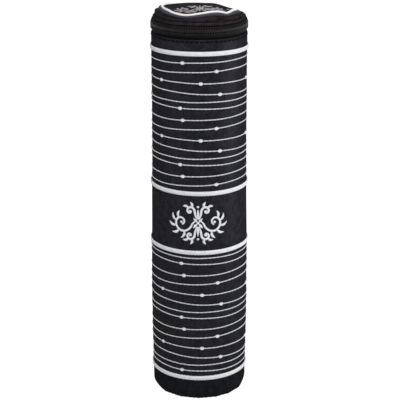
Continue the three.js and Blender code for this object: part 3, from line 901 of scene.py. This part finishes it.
def sprig(place, size, rise):
    """The whole ornament: 59 mm wide and 38 mm high at size 1. rise stretches it upwards."""
    parts = []

    def sew(midline, shape=leaf_shape, side=1):
        path = midline * (size, size * rise)
        run = way_along(path)[:-1]
        steps = np.linspace(0, run[-1], max(4, round(run[-1] / thread_pitch)))
        path = beside(*(np.interp(steps, run, column) for column in path.T)) * (side, 1)
        widths = np.interp(np.linspace(0, 1, len(path)), np.linspace(0, 1, len(shape)), shape)
        parts.append(satin(place, path, widths * size))

    def knot(u, v, half_width):
        parts.append(dot(shifted(place, u * size, v * size * rise), half_width * size))

    for side in (1, -1):
        for middle, radii, ends, leaves, root, bend in curls:
            vine, grown = curl(middle, radii, ends, leaves)
            stem = quadratic(root, bend, vine[0], 12)
            sew(np.concatenate([stem, vine]), vine_shape, side)
            for one in grown:
                sew(one, side=side)
            knot(side * middle[0], middle[1], 0.24 * radii[1] + 0.6)
        sew(leaf((1.0, 1.0), 45, 4.6, 0), side=side)
        sew(leaf((1.0, -1.0), -45, 5.0, 0), side=side)
    for way in (1, -1):
        sew(leaf((0, way * 3.6), way * 90, 8.5, 0))
        knot(0, way * 14.8, 1.0)
    knot(0, 0, 1.1)
    return joined(parts)


band_middle = (low("centre_band") + high("centre_band")) / 2
band_sprig = sprig(on_wall(-1.5, band_middle + 0.3), 0.95, 1.12)
piece("centre_band_ornament", band_sprig, ornament_thread, "braid", "case", sharp=80)

# %% [markdown]
# The braid over each seam is flat and made of five strands. Every strand crosses from
# edge to edge and back, over one neighbour and under the next. Where it turns back it
# leaves a small notch, and those notches make the scalloped edge. The strands lie on a
# thin tape of the same cord, so that no black shows through.

# %% Braids
strand_count = 5
strand_half_width = 0.74
strand_half_height = 0.3
strand_lift = 0.85  # of a strand's middle over the skin
strand_weave = 0.2  # up over a neighbour, down under the next
strand_sag = 0.18  # at the braid's edges
braid_half = (high("braid_1") - low("braid_1")) / 2
braid_repeats = 19
strand_steps = braid_repeats * 26
strand_swing = 0.97  # under 1, so that a strand turns back in a round bend


def strands(level):
    angle = np.arange(strand_steps) * 360 / strand_steps
    place = (np.arange(strand_steps) / strand_steps * braid_repeats
             + np.arange(strand_count)[:, None] / strand_count)
    across = np.arcsin(strand_swing * np.sin(TURN * place)) / math.asin(strand_swing)
    over = np.cos(TURN * strand_count * (place - 0.25)) * np.tanh(4 * np.cos(TURN * place))
    height = level + bow(level, angle) + across * (braid_half - strand_half_width * 0.8)
    lift = strand_lift + strand_weave * over - strand_sag * across**2
    paths = around(body_radius(level) + lift, angle, height)
    return tubes(paths, strand_half_width, strand_half_height, outwards(angle), closed=True)


for name, level in zip(braids, braid_levels):
    braid_core = body_radius(level) + 0.15
    core = np.array(rounded(braid_core, braid_core + 0.5, level - braid_half + 0.4,
                            level + braid_half - 0.4, 0.15)) * np.ones((RING_STEPS, 1, 1))
    core[..., 1] += bow(level, ring_angles)[:, None]
    piece(f"{name}_core", carried(core), braid_cord, "braid", "case")
    piece(f"{name}_strands", strands(level), braid_cord, "braid", "case", name, sharp=80)

# %% [markdown]
# The collar is a strip of smooth leatherette. Its top edge is rolled over and held by a
# row of black stitches, which pull a shallow groove below the roll. The stitches are
# drawn wider than a thread, so that their black also paints the groove's shade.

# %% Collar
roll_height = 1.6
roll_rise = 0.75
groove_level = rim_level - 2.3
groove_depth = 0.3
groove_width = 0.75

wall_levels = np.linspace(low("collar") + turned_edge, rim_level - roll_height, 26)
groove = groove_depth * bell((wall_levels - groove_level) / groove_width)
roll_turns = np.radians(np.linspace(-60, 180, 14))
roll_radius = (case_radius + 0.1 - inner_radius) / 2
collar_line = [
    (inner_radius, low("collar")),
    (case_radius - turned_edge, low("collar")),
    *zip(case_radius - groove, wall_levels),
    *beside(inner_radius + roll_radius + roll_radius * np.cos(roll_turns),
            rim_level - roll_rise + roll_rise * np.sin(roll_turns)),
]
piece("collar_skin", carried(collar_line), plain_skin, "plain_leatherette", "case", "collar")


dash_rise = 0.12
dash_sink = 0.1


def dashes(radius, level, first, last, pitch, length, half_width):
    """A row of short stitches round a ring, each a low arc that dives in at its ends."""
    count = round(math.radians(last - first) * radius / pitch)
    middles = first + (np.arange(count) + 0.5)[:, None] * (last - first) / count
    angle = middles + STITCH * np.degrees(length / 2 / radius)
    paths = around(radius + dash_rise * (1 - STITCH**4) - dash_sink, angle, level)
    taper = half_width * (1 - 0.4 * STITCH**6)
    return tubes(paths, taper, taper * 0.8, outwards(angle), sides=6)


# Real stitches, drawn wider than a thread: the extra width is painted shade of the groove.
collar_dashes_and_shade = dashes(case_radius - groove_depth + 0.1, groove_level, 0, 360, 4.6, 3.4, 0.75)
piece("collar_stitches", collar_dashes_and_shade, black_thread, "zip_tape", "case", sharp=80)

# %% [markdown]
# The zip's tapes are drawn in behind the rim and the hem, and stand flat in between. A
# soft curve is put through the frame's bends, because cloth has no corners. The upper
# tape leans in on its way up, and the coil on it leans with it. A close row of black
# stitches on the lower tape, just above the rim, is painted shadow: it gives the dark
# line of shade between the tape and the rim.

# %% Zip tapes
tape_outer = radii_at("zip_tape_lower", high("zip_tape_lower"))[1]
tape_at_rim = radii_at("zip_tape_lower", low("zip_tape_lower"))[1]
tape_at_hem = radii_at("zip_tape_upper", high("zip_tape_upper"))[1]
tooth_angles = corners_of("zip_teeth_lower")[0]
first_tooth, last_tooth = tooth_angles.min(), tooth_angles.max()
tape_end = corners_of("zip_tape_lower")[0].max()


def soft_step(start, stop, values):
    """0 before start, 1 after stop, and a smooth rise between them."""
    share = np.clip((values - start) / (stop - start), 0, 1)
    return share * share * (3 - 2 * share)


def lean(height):
    """How far the zip's upper half leans in under the hem."""
    share = np.clip((height - chain_level - 0.5) / (hem_level - chain_level - 0.4), 0, 1)
    return (tape_outer - tape_at_hem) * share**1.5


def strip(radius, heights, angles, thickness=cloth_thickness):
    """A strip of cloth, from the radius of its outer face at each height."""
    outer = beside(radius, heights)
    return carried(np.concatenate([outer, outer[::-1] - (thickness, 0)]), angles, closed=False)


lower_heights = np.linspace(low("zip_tape_lower"), high("zip_tape_lower"), 40)
upper_heights = np.linspace(low("zip_tape_upper"), high("zip_tape_upper"), 22)
flare = soft_step(rim_level + 0.6, rim_level + 2.9, lower_heights)
lower_radius = tape_at_rim + (tape_outer - tape_at_rim) * flare
upper_radius = tape_outer - lean(upper_heights)
tape_angles = np.linspace(-tape_end, tape_end, 260)
lower_tape = strip(lower_radius, lower_heights, tape_angles)
upper_tape = strip(upper_radius, upper_heights, tape_angles)
piece("zip_tape_lower_cloth", lower_tape, tape_cloth, "zip_tape", "case", "zip_tape_lower")
piece("zip_tape_upper_cloth", upper_tape, tape_cloth, "zip_tape", "lid", "zip_tape_upper",
      "zip_tape_end_right", "zip_tape_end_left")

# Painted shadow: a row of black dashes for the dark line of shade above the rim.
rim_shadow_row = dashes(tape_at_rim, rim_level + 1.0, -tape_end, tape_end, 2.4, 2.6, 0.8)
piece("zip_tape_lower_shadow_seam", rim_shadow_row, black_thread, "zip_tape", "case", sharp=80)

# %% [markdown]
# A coil zip has no separate teeth. Each row is one nylon wire wound into a flat coil
# and sewn to its tape. A loop's outer leg crosses the row straight, and its hidden leg
# comes back slanting to the next loop. The loops' heads of one row lie between those of
# the other. Two lines of sewing thread cross every leg.

# %% Coil
tooth_pitch = 2.3
head_overlap = 0.85
root_reach = 4.4
leg_steps = 16
coil_radius = tape_outer + 0.8
wire_half_width, wire_half_height = 0.5, 0.25
leg_lift = 0.27  # of a loop's outer leg, and as much inwards for its hidden one
head_rise = 0.4
head_swell = 0.2
sewing_rows = (2.1, 3.7)  # from the chain's middle
sewing_lift = 0.35
sewing_ripple = 0.22


def coil(side):
    arc = math.radians(last_tooth - first_tooth) * coil_radius
    turns = round(arc / tooth_pitch) - 1
    t = np.arange(turns * leg_steps + 1) / leg_steps
    part = t % 1
    swing, depth = np.cos(TURN * part), np.sin(TURN * part)
    across = np.sign(swing) * np.abs(swing) ** 0.75
    lift = np.sign(depth) * np.abs(depth) ** 0.5
    along = np.floor(t) + soft_step(0.75, 1.0, part) + (0.25 if side > 0 else 0.75)
    angle = first_tooth + (last_tooth - first_tooth) * along / (turns + 1)
    middle, half = (root_reach - head_overlap) / 2, (root_reach + head_overlap) / 2
    height = chain_level + side * (middle + half * across)
    head = np.clip(-across, 0, 1) ** 6
    radius = coil_radius - lean(height) + leg_lift * lift + head_rise * head
    return tubes(around(radius, angle, height), wire_half_width + head_swell * head,
                 wire_half_height, across=outwards(angle + 90))


def sewing(level):
    """A thread sewn along a row, up over each leg and down between two."""
    radius = coil_radius - lean(level) + sewing_lift
    first, last = first_tooth + 0.4, last_tooth - 0.4
    count = round(math.radians(last - first) * radius / tooth_pitch)
    angle = np.linspace(first, last, count * 8 + 1)
    ripple = np.cos(TURN * (angle - first) / (last - first) * count)
    path = around(radius + sewing_ripple * ripple, angle, level)
    return tubes(path, 0.24, 0.16, outwards(angle), sides=6)


for side, name, body in ((-1, "lower", "case"), (1, "upper", "lid")):
    piece(f"zip_coil_{name}", coil(side), coil_nylon, "zip_coil", body, f"zip_teeth_{name}",
          sharp=80)
    seams = joined([sewing(chain_level + side * row) for row in sewing_rows])
    piece(f"zip_coil_{name}_sewing", seams, black_thread, "zip_tape", body, sharp=80)

# %% [markdown]
# The lid is soft, so its piping rises, falls and is dented. The frame's piping is read
# back as a ring of radii and heights, and a short Fourier series makes a smooth curve of
# it. Kinks that are too sharp for the frame's steps are added to it. The rest of the lid
# follows that curve.

# %% The lid's ring
frame_steps = 54
orders = np.arange(1, 15)  # of the Fourier series
# Kinks: middle angle, spread in degrees, height
ring_kinks = [(31, 7, 0.25), (40, 4, -0.35), (51, 7, 0.35), (88, 24, 2.4), (-140, 20, 1.5),
              (-118, 10, 0.6), (-84, 13, -1.0), (-55, 7, 0.4), (-40, 10, -0.35)]


def by_step(node):
    """(radius, height) of a node's corners at each of the frame's angles."""
    angle, radius, height = corners_of(node)
    index = np.round(angle / 360 * frame_steps).astype(int) % frame_steps
    return [(radius[index == i], height[index == i]) for i in range(frame_steps)]


def smooth_ring(values, angle):
    """A smooth closed curve through values spread evenly round the case."""
    terms = np.fft.rfft(values) / len(values)
    phase = np.radians(np.asarray(angle, float))[..., None] * orders
    return (terms[0].real + 2 * np.cos(phase) @ terms[orders].real
            - 2 * np.sin(phase) @ terms[orders].imag)


def away_from(middle, angle):
    """Degrees from a middle angle, by the shorter way round."""
    return (angle - middle + 180) % 360 - 180


def bump_at(angle, middle, spread):
    """1 at an angle and less to both sides of it."""
    return bell(away_from(middle, angle) / spread)


piping = by_step("lid_piping")
piping_radii = np.array([(r.min() + r.max()) / 2 for r, _ in piping])
piping_levels = np.array([(h.min() + h.max()) / 2 for _, h in piping])
piping_half = np.ptp(piping[0][0]) / 2


def ring_radius(angle):
    return smooth_ring(piping_radii, angle) - 0.4 * bump_at(angle, -90, 25)


def ring_level(angle):
    """The piping's height."""
    kink = sum(height * bump_at(angle, middle, spread) for middle, spread, height in ring_kinks)
    return smooth_ring(piping_levels, angle) + kink


ring_edge = ring_radius(ring_angles)
ring_heights = ring_level(ring_angles)
print("piping", piping_levels.min(), "to", piping_levels.max(), "mm high, half", piping_half)

# %% [markdown]
# The gusset is the soft shoulder between the zip and the piping. Its hem is folded over
# the tape's edge and hangs a little lower than the frame's. A crease, pinched in, runs
# above the hem, and from there it rises to the piping. The middle of the rise is read
# from the frame too, which has the big pleat. Smaller folds are added along the
# surface's normal. A row of black stitches under the hem is painted shadow: it gives
# the dark line of shade below the hem.

# %% Gusset
crease_level = hem_level + 1.4
crease_radius = radii_at("lid_gusset", crease_level)[1]
hem_outer = radii_at("lid_gusset", hem_level)[1]
hem_drop = 2.0
hem_rows = 13
crease_pinch = 0.7
shoulder_rows = 40

middle_levels = np.array([
    heights[np.abs(radii - (crease_radius + ring + piping_half + seam_gap) / 2) < 0.15].max()
    for (radii, heights), ring in zip(by_step("lid_gusset"), piping_radii)
])

# Folds: middle angle, reach in degrees, share up the shoulder, its slope, height, width
folds = [
    (0, 9999, 0.85, 0.0, 0.7, 0.13),
    (0, 9999, 0.54, 0.0, -1.1, 0.08),
    (0, 9999, 0.26, 0.0, 0.8, 0.1),
    (-95, 26, 0.75, 0.0, 0.3, 0.25),
    (-72, 34, 0.4, 0.12, 0.4, 0.1),
    (-48, 26, 0.55, -0.12, -0.5, 0.08),
    (-8, 22, 0.45, 0.1, 0.3, 0.12),
    (34, 15, 0.16, 0.2, -1.2, 0.09),
    (60, 24, 0.5, -0.1, 0.9, 0.25),
    (84, 14, 0.7, 0.2, -0.6, 0.08),
    (120, 34, 0.5, 0.15, -0.5, 0.12),
    (165, 30, 0.3, 0.1, 0.45, 0.14),
    (215, 32, 0.55, -0.1, -0.4, 0.12),
]


def hem_curve():
    """The folded hem's section, from below up to the crease."""
    turn = np.linspace(-0.5, 0.46, hem_rows) * math.pi
    rise = np.sin(turn)
    half = (crease_level - hem_level + hem_drop) / 2
    edge = hem_outer - 0.3
    drawn = (edge - crease_radius + crease_pinch) * np.maximum(0, rise) ** 6
    bulge = (0.9 - 0.25 * rise) * np.cos(turn) ** 0.4
    return beside(edge + bulge - drawn, crease_level - half + half * rise)


def gusset_line():
    top = beside(ring_edge + piping_half + 0.1, ring_heights - 0.5)
    middle = beside((crease_radius + top[:, 0]) / 2, smooth_ring(middle_levels, ring_angles))
    t = np.linspace(0, 1, shoulder_rows)[:, None]
    shoulder = ((crease_radius, crease_level) * (2 * (t - 0.5) * (t - 1))
                + middle[:, None] * (4 * t * (1 - t)) + top[:, None] * (2 * t * (t - 0.5)))
    shoulder[..., 0] -= crease_pinch * bell(t[:, 0] / 0.06)
    hem = np.broadcast_to(hem_curve(), (RING_STEPS, hem_rows, 2))
    outer = np.concatenate([hem, shoulder], 1)
    slope = unit(np.gradient(outer, axis=1))
    normal = beside(slope[..., 1], -slope[..., 0])
    share = np.concatenate([np.full(hem_rows, -1.0), t[:, 0]])
    push = 0.45 * np.sin(np.clip(share, 0, 1) * math.pi)
    wander = 0.05 * np.sin(np.radians(ring_angles * 3 + 40))[:, None]
    for at, spread, level, tilt, height, width in folds:
        away = (away_from(at, ring_angles) / spread)[:, None]
        climb = (share - level - wander - tilt * away) / width
        push = push + height * bell(away) * bell(climb) * (share > 0)
    outer = outer + normal * push[..., None]
    inner = (outer - normal * wrap)[:, ::-1]
    inner[..., 1] = np.maximum(inner[..., 1], hem_level - hem_drop)
    return np.concatenate([outer, inner], 1)


gusset = gusset_line()
gusset_climb = way_along(gusset.mean(0))
print("gusset's climb: hem", gusset_climb[hem_rows - 1],
      "shoulder's top", gusset_climb[hem_rows + shoulder_rows - 1])
piece("lid_gusset_skin", carried(gusset), lid_skin, "leatherette", "lid", "lid_gusset", sharp=60)

# Painted shadow: a row of black dashes for the dark line of shade under the hem.
hem_shadow_row = dashes(hem_outer + 0.95, hem_level - hem_drop - 0.15, -tape_end, tape_end,
                 2.6, 2.75, 0.8)
piece("lid_gusset_hem_shadow_stitches", hem_shadow_row, black_thread, "zip_tape", "lid", sharp=80)

# %% [markdown]
# The piping is a cord covered with white cloth, sewn in where the gusset meets the lid's
# round panel. Its cover wrinkles a little where the cord bends. The two ends overlap at
# the back, and that lap is a slightly thicker stretch.

# %% Piping
lap = 0.12 * bell((ring_angles - 190) / 7)
wrinkle = 0.03 * np.sin(61 * ring_turns + 2 * np.sin(7 * ring_turns))
cord_half = piping_half + lap + wrinkle
cord_path = around(ring_edge, ring_angles, ring_heights)
cord = tubes(cord_path, cord_half, cord_half, UP, sides=16, closed=True)
piece("lid_piping_cord", cord, piping_cloth, "piping", "lid", "lid_piping", sharp=80)

# %% [markdown]
# The lid's panel is domed over soft foam and dips to the piping all round. A hollow lies
# at its right. The foam and the taffeta under it follow the same surface, each a little
# lower.

# %% Panel, foam and lining of the lid
dent_place, dent_width, dent_depth = 27, 5, 2.8
crown_rows = 30
foam_depth = wrap + seam_gap
foam_thickness = 2.0
lining_depth = foam_depth + foam_thickness + seam_gap


def crown(radius, angle):
    """Height of the lid's upper surface."""
    share = radius / ring_radius(angle)
    away = (radius * np.sin(np.radians(angle)) - dent_place) / dent_width
    dent = dent_depth * bell(away) * (1 - np.clip(share, 0, 1) ** 6)
    return crown_level + (ring_level(angle) - crown_level) * share**2 - dent


def crown_line(depth, edge_gap):
    """(radius, height) from the middle to the panel's edge, at a depth, for each angle."""
    radius = (ring_edge - piping_half - edge_gap)[:, None] * np.linspace(0, 1, crown_rows)
    return beside(radius, crown(radius, ring_angles[:, None]) - depth)


def layer(depth, thickness, edge_gap, *between):
    """A sheet under the lid's surface, with more of its section at the edge."""
    lower, upper = crown_line(depth + thickness, edge_gap), crown_line(depth, edge_gap)
    return carried(np.concatenate([lower, *between, upper[:, ::-1]], 1))


piece("lid_panel_skin", layer(0, wrap, 0.15), panel_skin, "leatherette", "lid", "lid_panel",
      weld=True)
lid_foam = piece("lid_foam_pad", layer(foam_depth, foam_thickness, 0.3), soft_foam, "foam", "lid",
                 "lid_foam", weld=True)

hem_inner = tape_at_hem - cloth_thickness - seam_gap
bend_radius = (hem_inner + ring_edge + piping_half) / 2
bend_height = np.minimum(crease_level, ring_heights - lining_depth)
lining_edge = [
    (bend_radius - cloth_thickness, bend_height - cloth_thickness),
    (hem_inner - cloth_thickness, hem_level + 0.2),
    (hem_inner, hem_level + 0.2),
    (hem_inner, crease_level - wrap),
    (bend_radius, bend_height),
]
lining_edge = [beside(*point, ring_angles)[:, None, :2] for point in lining_edge]
lid_lining = layer(lining_depth, cloth_thickness, 0.3, *lining_edge)
piece("lid_lining_cloth", lid_lining, lining_cloth, "lining", "lid", "lid_lining", weld=True)


def on_lid(u, v, lift):
    """A place on the lid's surface: u to the right and v to the back."""
    return beside(u, v, crown(np.hypot(u, v), np.degrees(np.arctan2(u, -v))) + lift)


lid_sprig = sprig(shifted(on_lid, 0.5, -19.5), 0.8, 0.72)
piece("lid_ornament", lid_sprig, lid_thread, "braid", "lid", sharp=80)

# %% [markdown]
# At the back a leatherette tab holds the lid, with a strip of lining behind it. They
# are the hinge between the case and the lid. Black stitches hold the tab along its
# sides.

# %% Hinge
tab_angle, tab_radius, tab_height = corners_of("hinge_tab")
tab_outer = tab_radius.max()
tab_thickness = 0.7
tab_stitch_pitch = 3.2
tab_stitch_length = 2.4
tab_seam_inset = 1.6  # degrees
tab_edge = np.abs(tab_angle).min()
tab_low, tab_high = tab_height.min(), tab_height.max()
tab_angles = np.linspace(tab_edge, 360 - tab_edge, 60)
tab_heights = np.linspace(tab_low, tab_high, 44)
tab_draw_in = soft_step(chain_level + 4.0, hem_level + 0.4, tab_heights)
tab_radii = tab_outer - (tab_outer - radii_at("hinge_tab", tab_high)[1]) * tab_draw_in
hinge_tab = strip(tab_radii, tab_heights, tab_angles, tab_thickness)

between_tapes = np.linspace(lower_heights[-1] + 0.3, upper_heights[0] - 0.3, 6)
strip_edge = np.abs(corners_of("hinge_lining")[0]).min()
strip_angles = np.linspace(strip_edge, 360 - strip_edge, 50)
hinge_lining = strip(np.concatenate([lower_radius, np.full(6, tape_outer), upper_radius]),
                     np.concatenate([lower_heights, between_tapes, upper_heights]), strip_angles)


def side_stitches(angle):
    """Stitches up one side of the tab."""
    count = round((tab_high - tab_low) / tab_stitch_pitch)
    middles = tab_low + (np.arange(count) + 0.5)[:, None] * (tab_high - tab_low) / count
    heights = middles + tab_stitch_length / 2 * STITCH
    skin = np.interp(heights, tab_heights, tab_radii)
    paths = around(skin + dash_rise * (1 - STITCH**4) - 0.06, angle, heights)
    return tubes(paths, 0.28, 0.2, outwards(angle), sides=6)


tab_seams = joined([side_stitches(tab_edge + tab_seam_inset),
                    side_stitches(360 - tab_edge - tab_seam_inset)])
for bent in (
    piece("hinge_tab_skin", hinge_tab, plain_skin, "leatherette", None, "hinge_tab"),
    piece("hinge_lining_cloth", hinge_lining, lining_cloth, "lining", None, "hinge_lining"),
    piece("hinge_tab_stitches", tab_seams, black_thread, "zip_tape", None, sharp=80),
):
    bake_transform(bent)

# %% [markdown]
# The slider is two shield-shaped plates joined by a neck, with a lip along each side of
# the outer plate and a bridge that holds the pull. It is cast, so its edges are soft: a
# bevel rounds them. Its own axes are x along the chain, y up and z outwards.

# %% Slider
pull_joint = next(joint for joint in frame["joints"] if joint["name"] == "pull_flip")
pivot_x, pivot_y = (value / MM for value in pull_joint["pos_m"][:2])
slider_angle = math.degrees(math.atan2(pivot_x, -pivot_y))
slider_out = outwards(slider_angle)
pivot_level = math.hypot(pivot_x, pivot_y)
pivot_radius = 0.65
slider_half_length = 7.5
slider_half_width = 5.6
inner_half_width = 4.5
lip_inner = slider_half_width - 0.8
slider_face = coil_radius + 0.9
plate_thickness = 1.2
inner_plate = math.sqrt((tape_outer - cloth_thickness) ** 2 - slider_half_length**2) - seam_gap


def from_slider(x, y, z):
    """A point in space from the slider's own axes."""
    x, y, z = (value[..., None] for value in np.broadcast_arrays(x, y, z))
    return x * outwards(slider_angle + 90) + y * UP + z * slider_out + (0, 0, chain_level)


def shield(half, tail=4.6, nose=4.2):
    """A plate's outline: one half, then the other mirrored. Tail at -x, nose at +x."""
    end = slider_half_length
    corners = [(-end, 0), (-end, -tail * 0.9), (-end + tail * 0.8, -tail),
               (-end + tail * 1.6, -tail - 0.2), (end - nose, -half), (end, -half),
               (end, -nose / 2), (end - nose / 2, -0.3), (end - nose / 2, 0)]
    half_line = np.concatenate([quadratic(*corners[i : i + 3], 8) for i in (0, 2, 4, 6)])
    return [*half_line, corners[-1], *(half_line[:0:-1] * (1, -1))]


def slab(outline, bottom, top):
    """A flat solid from an outline in the slider's x and y."""
    outline = np.array(outline)
    count = len(outline)
    points = [from_slider(*outline.T, z) for z in (bottom, top)]
    faces = [[i, (i + 1) % count, count + (i + 1) % count, count + i] for i in range(count)]
    faces += [list(range(count))[::-1], list(range(count, 2 * count))]
    return np.concatenate(points), faces, [[0.0, 0.0]] * sum(len(face) for face in faces)


def bar(x, y, z):
    """A slab with straight sides."""
    return slab([(x[0], y[0]), (x[1], y[0]), (x[1], y[1]), (x[0], y[1])], *z)


def cast(name, parts, body, node, round_width):
    """A piece of cast metal, with its edges rounded."""
    made = piece(name, joined(parts), black_enamel, "slider_metal", body, node, sharp=35)
    bevel = made.modifiers.new("soft_edges", "BEVEL")
    bevel.width = round_width * MM
    bevel.segments = 3
    bevel.limit_method = "ANGLE"
    bevel.angle_limit = math.radians(50)
    bevel.harden_normals = False


lip_depth = (slider_face - 1.1, slider_face + 0.6)
cast("zip_slider_body", [
    slab(shield(slider_half_width), slider_face, slider_face + plate_thickness),
    slab(shield(inner_half_width), inner_plate - plate_thickness, inner_plate),
    bar((3.6, 6.2), (-0.7, 0.7), (inner_plate - 0.5, slider_face + 0.5)),
    bar((-5.2, 3.3), (lip_inner, slider_half_width), lip_depth),
    bar((-5.2, 3.3), (-slider_half_width, -lip_inner), lip_depth),
], "slider", "zip_slider", 0.25)

bridge_low = slider_face + plate_thickness - 0.2
bridge_high = pivot_level + pivot_radius + 1.2
bridge_turn = np.linspace(0, math.pi, 17)
bridge_rise = bridge_low + (bridge_high - bridge_low) * np.sin(bridge_turn) ** 0.5
bridge_path = from_slider(2.9 * np.cos(bridge_turn), 0.0, bridge_rise)
bridge = tubes(bridge_path, 1.1, 0.5, across=UP, sides=12)
piece("zip_slider_bridge", bridge, black_enamel, "slider_metal", "slider", sharp=50)

# %% [markdown]
# The pull is stamped from sheet, with an eye round the bridge and a rounded tongue. Its
# pivot bar passes under the bridge.

# %% Pull
half_thickness = 0.65
pull_length = 20.0
tongue_half = 3.5
tongue_start = 7.0
eye_end = 4.4
eye_inner = 1.6
eye_outer = 2.6

pull_z = (pivot_level - half_thickness, pivot_level + half_thickness)
tongue = [
    (-eye_end, eye_outer),
    (-tongue_start, tongue_half),
    *polar((-pull_length + tongue_half, 0), tongue_half, np.linspace(90, 270, 14)),
    (-tongue_start, -tongue_half),
    (-eye_end, -eye_outer),
]
pivot_path = from_slider(0.0, np.linspace(-eye_outer, eye_outer, 5), pivot_level)
cast("zip_pull_tongue", [
    slab(tongue, *pull_z),
    bar((-eye_end - 0.4, 0.4), (eye_inner, eye_outer), pull_z),
    bar((-eye_end - 0.4, 0.4), (-eye_outer, -eye_inner), pull_z),
    tubes(pivot_path, pivot_radius, pivot_radius, slider_out, sides=16),
], "pull", "zip_pull", 0.2)

# %% Finish
bpy.context.view_layer.update()
